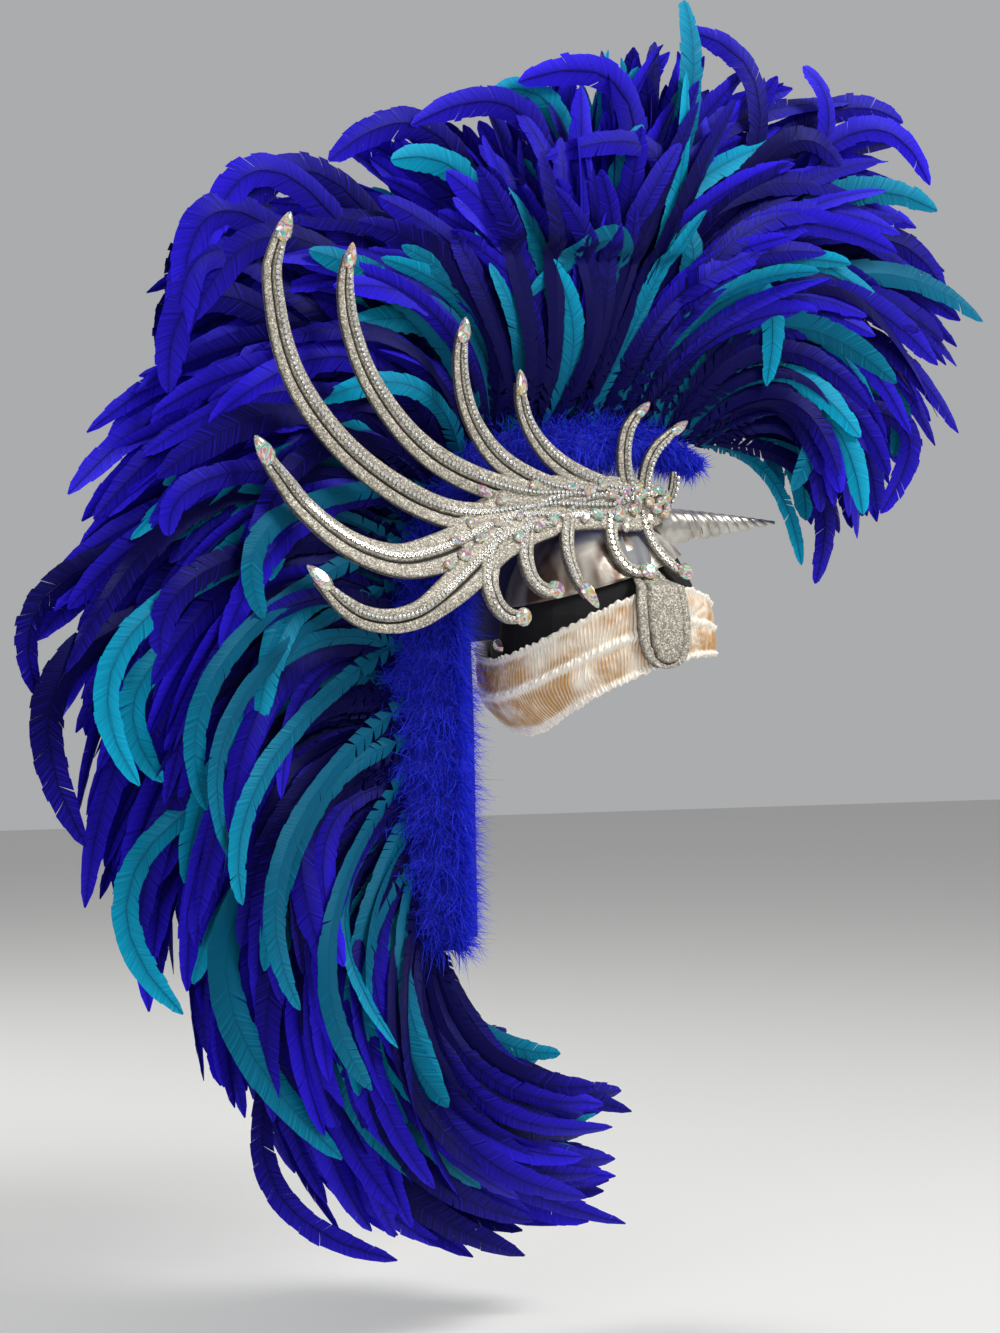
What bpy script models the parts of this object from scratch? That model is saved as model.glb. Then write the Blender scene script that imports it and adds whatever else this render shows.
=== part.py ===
"""Showgirl feather headdress: a cap with a twisted horn, two crystal-set wings,
a marabou ridge and a long mane of curled cock feathers.

Metres, +Z up, +X to the front, +Y to the wearer's left. The origin is the middle
of the head opening, at the height of the ruched band.
"""
import math

import bmesh
import bpy
from mathutils import Vector

# Head and cap sizes
CAP_LENGTH = 0.198
CAP_WIDTH = 0.162
CAP_HEIGHT = 0.1255
CAP_ROUNDNESS = 2.5
CAP_WALL = 0.0025
CAP_SEGMENTS = 28
CAP_ROWS = 12
CAP_SKIRT = 0.060
RIM_HEIGHT = 0.005
RIM_SLOPE = 0.27
SILVER_WALL = 0.0015
SILVER_EDGE_HEIGHT = 0.078
SILVER_EDGE_SLOPE = 0.30
FIT = 0.0006
SEAT = 0.0003
WELD = 0.000005

# Ruched band sizes
BAND_HEIGHT = 0.069
BAND_FRONT_NARROWING = 0.17
BAND_END_NARROWING = 0.22
BAND_THICKNESS = 0.012
BAND_FIT = 0.0014
BAND_MIDDLE = 0.030
BAND_TILT = 0.287
BAND_DIP = 0.296
BAND_TUCK = 0.60
BAND_TUCK_REACH = 0.042
BAND_RIM_DROP = 0.003
BAND_LOWEST_TUCK = 0.10
BAND_HIGHEST_TUCK = 0.65
BAND_GATHERS = 28
BAND_FRILL = 0.0025
BAND_RUCHE = 0.16
BAND_LINING_EDGE = 0.03

# Horn sizes
HORN_START = 0.050
HORN_LENGTH = 0.142
HORN_DROP = 0.0025
HORN_RISE = math.radians(3)
HORN_BASE_RADIUS = 0.022
HORN_ROPE_RADIUS = 0.0135
HORN_LOBE = 0.16
HORN_LOBES = 3
HORN_TURN_LENGTH = 0.034
HORN_SIDES = 12
HORN_FLARE = 0.040
HORN_FLARE_POWER = 1.6
HORN_TAPER = 0.88
HORN_TAPER_POWER = 1.15
HORN_LOBE_RUN = 0.012
HORN_RINGS = 27
HORN_CUT_SKIRT = 0.010

# Ridge, marabou and mane sizes
RIDGE_WIDTH = 0.006
RIDGE_STRIP = 0.006
RIDGE_SAMPLES = 66
FRAME_START = 0.17
FRAME_END = 0.99
FRAME_POINTS = 40
FOOT_POINTS = 24
FOOT_TOP = math.radians(82)
FOOT_BOTTOM = math.radians(10)
MARABOU_HALF_HEIGHT = 0.029
MARABOU_HALF_WIDTH = 0.036
MARABOU_TUFT = 0.004
MARABOU_STEP = 0.026
MARABOU_SPLIT = 0.43
MARABOU_PARTING = 0.0006
MARABOU_END_WIDTH = 0.55
MARABOU_END_HEIGHT = 0.60
MANE_REACH = 0.500
MANE_ROOT = 0.012
MANE_DEPTH = 0.056
MANE_SPLIT_GAP = 0.0006
MANE_VALLEY = 0.78
MANE_VALLEY_DEPTH = 0.5

# Wing sizes
WING_SPAN = 0.400
WING_THICKNESS = 0.005
WING_HUB_HEIGHT = CAP_HEIGHT + 0.0145
WING_FOLD_HEIGHT = CAP_HEIGHT + 0.0045
WING_SEAT_HEIGHT = CAP_HEIGHT * 0.677
WING_SEAT_GAP = 0.0001
WING_FOLD_SLOPE = 0.48
WING_FOLD_DEPTH = 0.075
WING_FLARE_FROM = -0.060
WING_FLARE = 0.10
ARM_STEP = 0.035
CHAIN_RADIUS = 0.0021
CHAIN_STEP = 0.070
CHAIN_END_GAP = 0.0035
CHAIN_STAGGER = 0.00006
CHAIN_SAMPLES = 60
STONE_SIDES = 8
STONE_HEIGHT = 0.0045
STONE_TABLE = 0.55
STONE_REACH = 0.006
CAP_STONE_LENGTH = 0.016
CAP_STONE_WIDTH = 0.010
CAP_STONE_HEIGHT = 0.017
CAP_STONE_TILT = math.radians(45)
CURVE_STEPS = 8

# Temple tab and satin leaf sizes
TAB_BOTTOM = -0.003
TAB_CLEARANCE = 0.004
TAB_MIDDLE = math.radians(85)
TAB_HALF_ANGLE = math.radians(14.3)
TAB_THICKNESS = 0.0045
LEAF_HEIGHT = 0.030
LEAF_BOTTOM = 0.090
LEAF_MIDDLE = math.radians(88)
LEAF_HALF_ANGLE = math.radians(9.5)
LEAF_THICKNESS = 0.0035
NARROW_WIDTH = 0.5
NARROW_THICKNESS = 0.6

# Ridge line in the middle plane: forward and up, as shares of CAP_LENGTH
RIDGE_LINE = (
    (0.530, 0.909),
    (0.253, 0.995),
    (-0.025, 0.975),
    (-0.495, 0.869),
    (-0.758, 0.631),
    (-0.833, 0.303),
    (-0.818, -0.253),
    (-0.808, -0.758),
    (-0.798, -1.212),
)

# Locks of the mane: root as a share of the ridge line, tip forward and up as
# shares of MANE_REACH, and the bow of the lock as a share of its length
MANE_FRONT = (
    (0.012, 0.568, 0.224, 0.40),
    (0.032, 0.638, 0.310, 0.42),
    (0.054, 0.758, 0.438, 0.38),
    (0.078, 0.836, 0.652, 0.30),
    (0.100, 0.710, 0.852, 0.26),
    (0.125, 0.690, 0.960, 0.22),
    (0.150, 0.668, 1.028, 0.18),
)
MANE_CROWN = (
    (0.178, 0.418, 1.086, 0.12),
    (0.200, 0.182, 1.194, 0.00),
    (0.225, 0.050, 1.140, -0.03),
    (0.250, -0.090, 1.060, -0.08),
    (0.275, -0.226, 0.990, -0.16),
    (0.298, -0.392, 0.922, -0.20),
    (0.320, -0.542, 0.840, -0.22),
)
MANE_NAPE = (
    (0.345, -0.706, 0.760, -0.24),
    (0.365, -0.754, 0.662, -0.26),
    (0.387, -0.812, 0.540, -0.27),
    (0.410, -0.880, 0.424, -0.28),
    (0.435, -0.966, 0.356, -0.26),
    (0.460, -0.998, 0.230, -0.26),
    (0.487, -1.024, 0.150, -0.27),
)
MANE_BACK = (
    (0.518, -1.048, -0.054, -0.28),
    (0.550, -1.000, -0.140, -0.28),
    (0.585, -0.974, -0.214, -0.28),
    (0.620, -0.974, -0.292, -0.27),
    (0.655, -0.932, -0.422, -0.27),
    (0.692, -0.898, -0.502, -0.27),
)
MANE_TAIL = (
    (0.742, -0.794, -0.670, -0.28),
    (0.772, -0.706, -0.758, -0.28),
    (0.804, -0.580, -0.836, -0.28),
    (0.837, -0.506, -0.960, -0.28),
    (0.870, -0.412, -1.006, -0.28),
    (0.902, -0.176, -1.020, -0.30),
    (0.930, 0.038, -0.984, -0.28),
    (0.958, 0.020, -0.890, -0.26),
    (0.984, 0.038, -0.786, -0.22),
)
# The parted ends of the mane over the brow and down the back
MANE_BROW_END = (0.000, 0.470, 0.290, 0.40)
MANE_TAIL_END = (1.000, -0.060, -0.690, -0.18)
MANE_SECTIONS = (
    ("mane_front", MANE_FRONT, 1.25),
    ("mane_crown", MANE_CROWN, 1.20),
    ("mane_nape", MANE_NAPE, 1.05),
    ("mane_back", MANE_BACK, 1.35),
    ("mane_tail", MANE_TAIL, 1.45),
)
# Depth of a lock: place along it and half depth as a share of MANE_DEPTH
LOCK_DEPTHS = (
    (0.00, 0.20),
    (0.14, 0.50),
    (0.34, 0.82),
    (0.58, 1.00),
    (0.82, 0.66),
    (1.00, 0.05),
)

# Wing arms in side view: forward and up from the hub and width, as shares of
# WING_SPAN, each from its tip to its root
WING_ARMS = {
    "a1": ((-0.855, 0.520, 0.024), (-0.872, 0.475, 0.034), (-0.882, 0.430, 0.040),
           (-0.875, 0.365, 0.044), (-0.858, 0.290, 0.048), (-0.825, 0.215, 0.052),
           (-0.768, 0.140, 0.055), (-0.690, 0.070, 0.057), (-0.590, 0.010, 0.060),
           (-0.485, -0.032, 0.062), (-0.390, -0.042, 0.062), (-0.280, -0.025, 0.060)),
    "a2": ((-0.703, 0.475, 0.022), (-0.710, 0.435, 0.032), (-0.710, 0.390, 0.038),
           (-0.697, 0.325, 0.042), (-0.663, 0.245, 0.046), (-0.608, 0.170, 0.050),
           (-0.538, 0.105, 0.054), (-0.455, 0.058, 0.058), (-0.355, 0.026, 0.058),
           (-0.250, 0.010, 0.056)),
    "a3": ((-0.425, 0.345, 0.020), (-0.430, 0.305, 0.030), (-0.430, 0.260, 0.034),
           (-0.418, 0.200, 0.038), (-0.390, 0.143, 0.042), (-0.342, 0.090, 0.048),
           (-0.278, 0.053, 0.050), (-0.190, 0.025, 0.050)),
    "a4": ((-0.280, 0.245, 0.020), (-0.275, 0.205, 0.028), (-0.260, 0.163, 0.032),
           (-0.230, 0.122, 0.038), (-0.185, 0.085, 0.044), (-0.125, 0.055, 0.046),
           (-0.050, 0.030, 0.046)),
    "a5": ((0.035, 0.205, 0.016), (0.015, 0.185, 0.024), (-0.002, 0.155, 0.030),
           (-0.010, 0.115, 0.032), (-0.008, 0.070, 0.034), (0.005, 0.020, 0.034)),
    "a6": ((0.130, 0.170, 0.016), (0.100, 0.148, 0.022), (0.072, 0.122, 0.026),
           (0.052, 0.088, 0.028), (0.042, 0.050, 0.028), (0.038, 0.010, 0.028)),
    "a7": ((0.118, 0.072, 0.010), (0.115, 0.035, 0.016), (0.100, 0.000, 0.018)),
    "b1": ((-0.905, 0.075, 0.024), (-0.882, 0.045, 0.032), (-0.852, 0.012, 0.040),
           (-0.812, -0.035, 0.048), (-0.762, -0.082, 0.054), (-0.698, -0.120, 0.060),
           (-0.612, -0.140, 0.068), (-0.522, -0.125, 0.078), (-0.425, -0.092, 0.080),
           (-0.320, -0.050, 0.070)),
    "b2": ((-0.815, -0.180, 0.022), (-0.795, -0.205, 0.028), (-0.765, -0.230, 0.038),
           (-0.715, -0.255, 0.046), (-0.650, -0.262, 0.050), (-0.585, -0.248, 0.056),
           (-0.522, -0.212, 0.064), (-0.450, -0.165, 0.070), (-0.355, -0.100, 0.070)),
    "c1": ((-0.330, -0.250, 0.026), (-0.365, -0.247, 0.034), (-0.395, -0.222, 0.038),
           (-0.403, -0.185, 0.042), (-0.390, -0.145, 0.044), (-0.360, -0.095, 0.044)),
    "c2": ((-0.240, -0.195, 0.026), (-0.268, -0.192, 0.030), (-0.290, -0.170, 0.034),
           (-0.294, -0.130, 0.036), (-0.280, -0.085, 0.036), (-0.248, -0.035, 0.036)),
    "c3": ((-0.155, -0.205, 0.020), (-0.172, -0.172, 0.026), (-0.180, -0.130, 0.030),
           (-0.174, -0.085, 0.032), (-0.150, -0.030, 0.032)),
    "c4": ((0.010, -0.150, 0.024), (-0.030, -0.145, 0.028), (-0.053, -0.115, 0.030),
           (-0.056, -0.075, 0.030), (-0.042, -0.030, 0.030)),
    "c5": ((0.105, -0.150, 0.022), (0.080, -0.135, 0.024), (0.056, -0.105, 0.026),
           (0.042, -0.070, 0.026), (0.040, -0.020, 0.028)),
}
WING_BODY = (
    (0.105, 0.005, 0.060), (0.030, -0.003, 0.110), (-0.075, 0.000, 0.115),
    (-0.175, -0.005, 0.120), (-0.280, -0.030, 0.125), (-0.385, -0.070, 0.110),
    (-0.450, -0.110, 0.070),
)
# Rhinestone chain: the trunk on the body, and for each arm the last arm point
# that its chain follows and the point where it joins the trunk or another chain
CHAIN_TRUNK = ((0.090, 0.012), (0.020, 0.020), (-0.075, 0.020), (-0.175, 0.014),
               (-0.250, -0.004), (-0.320, -0.036))
CHAIN_JOINS = {
    "a1": (11, (-0.240, -0.002)), "a2": (9, (-0.180, 0.013)), "a3": (7, (-0.120, 0.017)),
    "a4": (6, (-0.010, 0.020)), "a5": (5, (0.010, 0.020)), "a6": (5, (0.038, 0.018)),
    "a7": (2, (0.088, 0.012)), "b1": (9, (-0.290, -0.022)), "b2": (8, (-0.338, -0.047)),
    "c1": (5, (-0.398, -0.118)), "c2": (5, (-0.245, -0.004)), "c3": (4, (-0.140, 0.016)),
    "c4": (4, (-0.075, 0.018)), "c5": (4, (0.044, 0.017)),
}
# Tip stones: half length and half width as shares of WING_SPAN, and the pull of
# the outline towards a point at its outer end (0 for a round stone)
TIP_STONES = {
    "a1": (0.0320, 0.0170, 0.45), "a2": (0.0280, 0.0130, 0.45),
    "a3": (0.0280, 0.0150, 0.45), "a4": (0.0280, 0.0130, 0.45),
    "a5": (0.0230, 0.0110, 0.45), "a6": (0.0250, 0.0110, 0.45),
    "b1": (0.0340, 0.0180, 0.45), "b2": (0.0340, 0.0170, 0.45),
    "c1": (0.0200, 0.0200, 0.00), "c2": (0.0210, 0.0210, 0.00),
    "c3": (0.0330, 0.0150, 0.40), "c4": (0.0200, 0.0200, 0.00),
    "c5": (0.0200, 0.0200, 0.00),
}
# Body stones: forward and up from the hub, half length, half width, pull, turn
BODY_STONES = {
    "drop": (-0.030, -0.024, 0.0200, 0.0150, 0.45, math.radians(100)),
    "front": (0.068, -0.010, 0.0130, 0.0130, 0.0, 0.0),
    "middle": (-0.204, -0.045, 0.0150, 0.0150, 0.0, 0.0),
    "rear": (-0.305, -0.085, 0.0140, 0.0140, 0.0, 0.0),
    "end": (-0.455, -0.128, 0.0150, 0.0150, 0.0, 0.0),
}

# Rings of the horn's smooth base, as shares of HORN_FLARE
HORN_FLARE_ROWS = (0.000, 0.275, 0.550, 0.800)
# Band section from its lower to its upper edge: height and thickness as shares
BAND_SECTION = ((0.00, 1.00), (0.10, 0.55), (0.28, 0.88), (0.43, 0.62), (0.50, 1.00),
                (0.57, 0.62), (0.72, 0.88), (0.90, 0.55), (1.00, 1.00))
# Tab outline from its rounded lower end up: height and width as shares
TAB_OUTLINE = ((0.00, 0.30), (0.05, 0.58), (0.14, 0.80), (0.30, 0.94), (0.55, 1.00),
               (0.80, 1.00), (1.00, 0.92))
# Tab section from its front edge back: place and thickness as shares
TAB_SECTION = ((0.00, 1.6), (0.14, 1.6), (0.18, 1.0), (0.36, 1.0), (0.40, 1.7),
               (0.78, 1.7), (0.82, 1.0), (1.00, 1.0))
LEAF_OUTLINE = ((0.00, 0.35), (0.15, 0.80), (0.40, 1.00), (0.65, 0.75), (0.85, 0.42),
                (1.00, 0.30))
LEAF_SECTION = ((0.00, 0.6), (0.25, 1.2), (0.50, 0.7), (0.75, 1.2), (1.00, 0.6))

COLOURS = {
    "black_felt": ((0.012, 0.012, 0.014), 0.85, 0.0),
    "silver_vinyl": ((0.70, 0.71, 0.73), 0.18, 1.0),
    "cream_satin": ((0.80, 0.60, 0.33), 0.50, 0.0),
    "silver_horn": ((0.76, 0.75, 0.72), 0.22, 1.0),
    "ridge_frame": ((0.015, 0.015, 0.05), 0.70, 0.0),
    "marabou": ((0.020, 0.040, 0.75), 0.90, 0.0),
    "cock_feather": ((0.035, 0.020, 0.50), 0.45, 0.0),
    "glitter_foam": ((0.66, 0.64, 0.58), 0.45, 0.3),
    "grey_satin": ((0.42, 0.43, 0.44), 0.35, 0.2),
    "rhinestone_chain": ((0.75, 0.74, 0.70), 0.20, 0.8),
    "aurora_crystal": ((0.78, 0.80, 0.82), 0.05, 0.2),
}


def clear_scene():
    for item in list(bpy.data.objects):
        bpy.data.objects.remove(item, do_unlink=True)


def make_collection(name):
    collection = bpy.data.collections.new(name)
    bpy.context.scene.collection.children.link(collection)
    return collection


def make_materials():
    materials = {}
    for name, (colour, roughness, metallic) in COLOURS.items():
        material = bpy.data.materials.new(name)
        material.use_nodes = True
        shader = material.node_tree.nodes["Principled BSDF"]
        shader.inputs["Base Color"].default_value = (*colour, 1.0)
        shader.inputs["Roughness"].default_value = roughness
        shader.inputs["Metallic"].default_value = metallic
        material.diffuse_color = (*colour, 1.0)
        materials[name] = material
    return materials


def add_object(name, mesh, material, collection):
    mesh.name = name
    mesh.materials.clear()
    mesh.materials.append(material)
    item = bpy.data.objects.new(name, mesh)
    collection.objects.link(item)
    return item


def evaluated_mesh(item):
    bpy.context.view_layer.update()
    graph = bpy.context.evaluated_depsgraph_get()
    return bpy.data.meshes.new_from_object(item.evaluated_get(graph))


def curve_mesh(curve, collection):
    """Turn a curve into a welded, closed mesh and remove the curve."""
    item = bpy.data.objects.new("outline", curve)
    collection.objects.link(item)
    mesh = evaluated_mesh(item)
    bpy.data.objects.remove(item, do_unlink=True)
    shape = bmesh.new()
    shape.from_mesh(mesh)
    bmesh.ops.remove_doubles(shape, verts=shape.verts, dist=WELD)
    bmesh.ops.recalc_face_normals(shape, faces=shape.faces)
    shape.to_mesh(mesh)
    shape.free()
    return mesh


def plate_mesh(outline, thickness, collection):
    """A flat plate in the local XY plane from its outline."""
    curve = bpy.data.curves.new("plate", "CURVE")
    curve.dimensions = "2D"
    curve.fill_mode = "BOTH"
    curve.extrude = thickness / 2
    spline = curve.splines.new("POLY")
    spline.points.add(len(outline) - 1)
    for point, (across, up) in zip(spline.points, outline):
        point.co = (across, up, 0.0, 1.0)
    spline.use_cyclic_u = True
    return curve_mesh(curve, collection)


def tube_mesh(points, radius, collection):
    """A six-sided tube along a few points."""
    curve = bpy.data.curves.new("tube", "CURVE")
    curve.dimensions = "3D"
    curve.bevel_depth = radius
    curve.bevel_resolution = 1
    curve.use_fill_caps = True
    spline = curve.splines.new("POLY")
    spline.points.add(len(points) - 1)
    for point, place in zip(spline.points, points):
        point.co = (*place, 1.0)
    return curve_mesh(curve, collection)


def boolean_mesh(first, second, operation, collection, solver="EXACT"):
    """Combine two meshes and return the result as a new mesh."""
    body = bpy.data.objects.new("body", first)
    tool = bpy.data.objects.new("tool", second)
    collection.objects.link(body)
    collection.objects.link(tool)
    modifier = body.modifiers.new("combine", "BOOLEAN")
    modifier.operation = operation
    modifier.solver = solver
    modifier.object = tool
    mesh = evaluated_mesh(body)
    bpy.data.objects.remove(body, do_unlink=True)
    bpy.data.objects.remove(tool, do_unlink=True)
    return mesh


def mesh_from_rings(rings, closed_ends=True, loop=False):
    """Loft through rings of equal length, first to last."""
    shape = bmesh.new()
    rows = [[shape.verts.new(point) for point in ring] for ring in rings]
    pairs = list(zip(rows, rows[1:]))
    if loop:
        pairs.append((rows[-1], rows[0]))
    for low, high in pairs:
        count = len(low)
        for i in range(count):
            j = (i + 1) % count
            shape.faces.new((low[i], low[j], high[j], high[i]))
    if closed_ends and not loop:
        shape.faces.new(rows[0])
        shape.faces.new(rows[-1])
    bmesh.ops.recalc_face_normals(shape, faces=shape.faces)
    mesh = bpy.data.meshes.new("loft")
    shape.to_mesh(mesh)
    shape.free()
    return mesh


def mirrored_mesh(mesh):
    """The same shape on the other side of the middle plane."""
    shape = bmesh.new()
    shape.from_mesh(mesh)
    for vert in shape.verts:
        vert.co.y = -vert.co.y
    bmesh.ops.reverse_faces(shape, faces=shape.faces)
    copy = bpy.data.meshes.new("mirrored")
    shape.to_mesh(copy)
    shape.free()
    return copy


def add_pair(name, mesh, material, collection):
    """A piece on the wearer's right and its mirror image on the left."""
    left = mirrored_mesh(mesh)
    add_object(name + "_right", mesh, material, collection)
    add_object(name + "_left", left, material, collection)


def curve_between(start, end, bow, share):
    """A point on a bowed lock between two points in the middle plane."""
    chord = end - start
    side = Vector((-chord.y, chord.x))
    knee = (start + end) / 2 + side * (2 * bow)
    near = start.lerp(knee, share)
    far = knee.lerp(end, share)
    return near.lerp(far, share)


def smooth_path(points, count):
    """Even points along a smooth curve through the given points."""
    fine = []
    last = len(points) - 1
    for i in range(last):
        before = points[max(i - 1, 0)]
        start = points[i]
        end = points[i + 1]
        after = points[min(i + 2, last)]
        for step in range(CURVE_STEPS):
            t = step / CURVE_STEPS
            bend_in = (end - before) / 2
            bend_out = (after - start) / 2
            fine.append(start * (2 * t**3 - 3 * t**2 + 1) + bend_in * (t**3 - 2 * t**2 + t)
                        + end * (3 * t**2 - 2 * t**3) + bend_out * (t**3 - t**2))
    fine.append(points[-1])
    lengths = [0.0]
    for start, end in zip(fine, fine[1:]):
        lengths.append(lengths[-1] + (end - start).length)
    return [point_at(fine, lengths, lengths[-1] * i / (count - 1)) for i in range(count)]


def point_at(points, lengths, distance):
    """The point at a distance along a line of points."""
    for i in range(len(points) - 1):
        if distance <= lengths[i + 1] or i == len(points) - 2:
            share = (distance - lengths[i]) / (lengths[i + 1] - lengths[i])
            return points[i].lerp(points[i + 1], share)
    return points[-1]


def path_length(points):
    return sum((end - start).length for start, end in zip(points, points[1:]))


def dome_share(height, top):
    """How wide the dome is at a height, as a share of its full width."""
    share = min(max(height, 0.0) / top, 1.0)
    return (1.0 - share**CAP_ROUNDNESS) ** (1.0 / CAP_ROUNDNESS)


def dome_mesh(grow, skirt):
    """The open dome at an offset outside the base cap, with a straight skirt."""
    shape = bmesh.new()
    bmesh.ops.create_uvsphere(shape, u_segments=CAP_SEGMENTS, v_segments=CAP_ROWS,
                              radius=1.0)
    everything = shape.verts[:] + shape.edges[:] + shape.faces[:]
    bmesh.ops.bisect_plane(shape, geom=everything, plane_co=(0, 0, 0), plane_no=(0, 0, -1),
                           clear_outer=True)
    power = 2.0 / CAP_ROUNDNESS
    for vert in shape.verts:
        level = math.asin(min(max(vert.co.z, 0.0), 1.0))
        turn = math.atan2(vert.co.y, vert.co.x)
        width = max(math.cos(level), 0.0) ** power
        if vert.co.z > 0.9999:
            width = 0.0
        vert.co = ((CAP_LENGTH / 2 + grow) * width * math.cos(turn),
                   (CAP_WIDTH / 2 + grow) * width * math.sin(turn),
                   (CAP_HEIGHT + grow) * math.sin(level) ** power)
    rim = [edge for edge in shape.edges if edge.is_boundary]
    added = bmesh.ops.extrude_edge_only(shape, edges=rim)["geom"]
    for vert in added:
        if isinstance(vert, bmesh.types.BMVert):
            vert.co.z -= skirt
    bmesh.ops.recalc_face_normals(shape, faces=shape.faces)
    return shape


def cap_shell(name, grow, wall, edge_height, edge_slope, material, collection):
    """A thin dome cut along a sloping edge, low at the back."""
    shape = dome_mesh(grow, CAP_SKIRT)
    everything = shape.verts[:] + shape.edges[:] + shape.faces[:]
    bmesh.ops.bisect_plane(shape, geom=everything, plane_co=(0, 0, edge_height),
                           plane_no=(edge_slope, 0, -1), clear_outer=True)
    mesh = bpy.data.meshes.new(name)
    shape.to_mesh(mesh)
    shape.free()
    mesh.shade_smooth()
    item = add_object(name, mesh, material, collection)
    wall_maker = item.modifiers.new("wall", "SOLIDIFY")
    wall_maker.thickness = wall
    wall_maker.offset = -1.0
    wall_maker.use_even_offset = True
    return item


def silver_grow():
    """Offset of the silver cap's outer face from the base cap's."""
    return FIT + SILVER_WALL


def build_caps(materials, collection):
    cap_shell("base_cap", 0.0, CAP_WALL, RIM_HEIGHT, RIM_SLOPE,
              materials["black_felt"], collection)
    cap_shell("silver_cap", silver_grow(), SILVER_WALL, SILVER_EDGE_HEIGHT,
              SILVER_EDGE_SLOPE, materials["silver_vinyl"], collection)


def band_centre(forward):
    """Height of the band's middle line at a place along the head."""
    share = forward / (CAP_LENGTH / 2)
    return BAND_MIDDLE + BAND_TILT * forward - BAND_DIP * CAP_LENGTH / 2 * share**2


def band_height(forward):
    """Height of the band, which narrows towards the brow and the nape."""
    share = forward / (CAP_LENGTH / 2)
    return BAND_HEIGHT * (1.0 - BAND_FRONT_NARROWING * share - BAND_END_NARROWING * share**2)


def tuck_height(forward):
    """Height at which the band starts to tuck in, just below the base cap's rim."""
    return RIM_HEIGHT + RIM_SLOPE * forward - BAND_RIM_DROP


def band_point(turn, up, out):
    """A point on the band at an angle, a height share and an offset.

    Below the base cap's rim the band tucks in under the back of the head.
    """
    forward = CAP_LENGTH / 2 * math.cos(turn)
    height = band_centre(forward) + (up - 0.5) * band_height(forward)
    below = max(0.0, tuck_height(forward) - height)
    tuck = BAND_TUCK * below * (1.0 + below / BAND_TUCK_REACH) * max(0.0, -math.cos(turn))
    share = dome_share(height, CAP_HEIGHT)
    return ((CAP_LENGTH / 2 * share + out) * math.cos(turn) + tuck,
            (CAP_WIDTH / 2 * share + out) * math.sin(turn),
            height)


def build_band(materials, collection):
    """Ruched band: gathered bodies between three frilled ridges."""
    rings = []
    stations = 2 * BAND_GATHERS
    for i in range(stations):
        turn = 2 * math.pi * i / stations
        swell = 1.0 if i % 2 == 0 else 1.0 - BAND_RUCHE
        frill = BAND_FRILL if i % 2 == 0 else -BAND_FRILL
        ring = [band_point(turn, BAND_LINING_EDGE, BAND_FIT)]
        for up, out in BAND_SECTION:
            wave = frill if up in (0.0, 1.0) else 0.0
            reach = BAND_FIT + BAND_THICKNESS * (out * swell if out < 1.0 else out)
            x, y, z = band_point(turn, up, reach)
            ring.append((x, y, z + wave * (1 if up > 0.5 else -1)))
        ring.append(band_point(turn, 1.0 - BAND_LINING_EDGE, BAND_FIT))
        forward = CAP_LENGTH / 2 * math.cos(turn)
        bend = 0.5 + (tuck_height(forward) - band_centre(forward)) / band_height(forward)
        bend = min(max(bend, BAND_LOWEST_TUCK), BAND_HIGHEST_TUCK)
        for up in sorted((0.50, bend), reverse=True):
            ring.append(band_point(turn, up, BAND_FIT))
        rings.append(ring)
    mesh = mesh_from_rings(rings, loop=True)
    mesh.shade_smooth()
    add_object("ruched_band", mesh, materials["cream_satin"], collection)


def horn_radius(distance):
    """Smooth flared base, then a rope that tapers to the tip."""
    if distance < HORN_FLARE:
        share = 1.0 - distance / HORN_FLARE
        spread = (HORN_BASE_RADIUS - HORN_ROPE_RADIUS) * share**HORN_FLARE_POWER
        return HORN_ROPE_RADIUS + spread
    share = (distance - HORN_FLARE) / (HORN_LENGTH - HORN_FLARE)
    return HORN_ROPE_RADIUS * (1.0 - HORN_TAPER * share**HORN_TAPER_POWER)


def build_horn(materials, collection, cutters):
    """Twisted horn whose flared base is cut to sit on the cap."""
    axis_height = CAP_HEIGHT - HORN_DROP
    base = [HORN_FLARE * share for share in HORN_FLARE_ROWS]
    rope = HORN_LENGTH - HORN_FLARE
    stations = base + [HORN_FLARE + rope * i / HORN_RINGS for i in range(HORN_RINGS + 1)]
    rings = []
    for distance in stations:
        radius = horn_radius(distance)
        past_flare = max(distance - HORN_FLARE, 0.0)
        depth = HORN_LOBE * min(past_flare / HORN_LOBE_RUN, 1.0)
        twist = 2 * math.pi * past_flare / HORN_TURN_LENGTH
        ring = []
        for side in range(HORN_SIDES):
            turn = 2 * math.pi * side / HORN_SIDES
            lobe = 1.0 - depth * (1.0 - math.cos(HORN_LOBES * turn)) / 2
            angle = turn + twist
            ring.append((HORN_START + distance * math.cos(HORN_RISE)
                         - radius * lobe * math.sin(angle) * math.sin(HORN_RISE),
                         radius * lobe * math.cos(angle),
                         axis_height + distance * math.sin(HORN_RISE)
                         + radius * lobe * math.sin(angle) * math.cos(HORN_RISE)))
        rings.append(ring)
    horn = mesh_from_rings(rings)
    cutter = bpy.data.meshes.new("dome_cutter")
    shape = dome_mesh(silver_grow() + SEAT, HORN_CUT_SKIRT)
    rim = [edge for edge in shape.edges if edge.is_boundary]
    bmesh.ops.edgeloop_fill(shape, edges=rim)
    bmesh.ops.recalc_face_normals(shape, faces=shape.faces)
    shape.to_mesh(cutter)
    shape.free()
    mesh = boolean_mesh(horn, cutter, "DIFFERENCE", cutters)
    mesh.shade_smooth()
    add_object("horn", mesh, materials["silver_horn"], collection)


def ridge_points():
    return [Vector((x, z)) * CAP_LENGTH for x, z in RIDGE_LINE]


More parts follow.
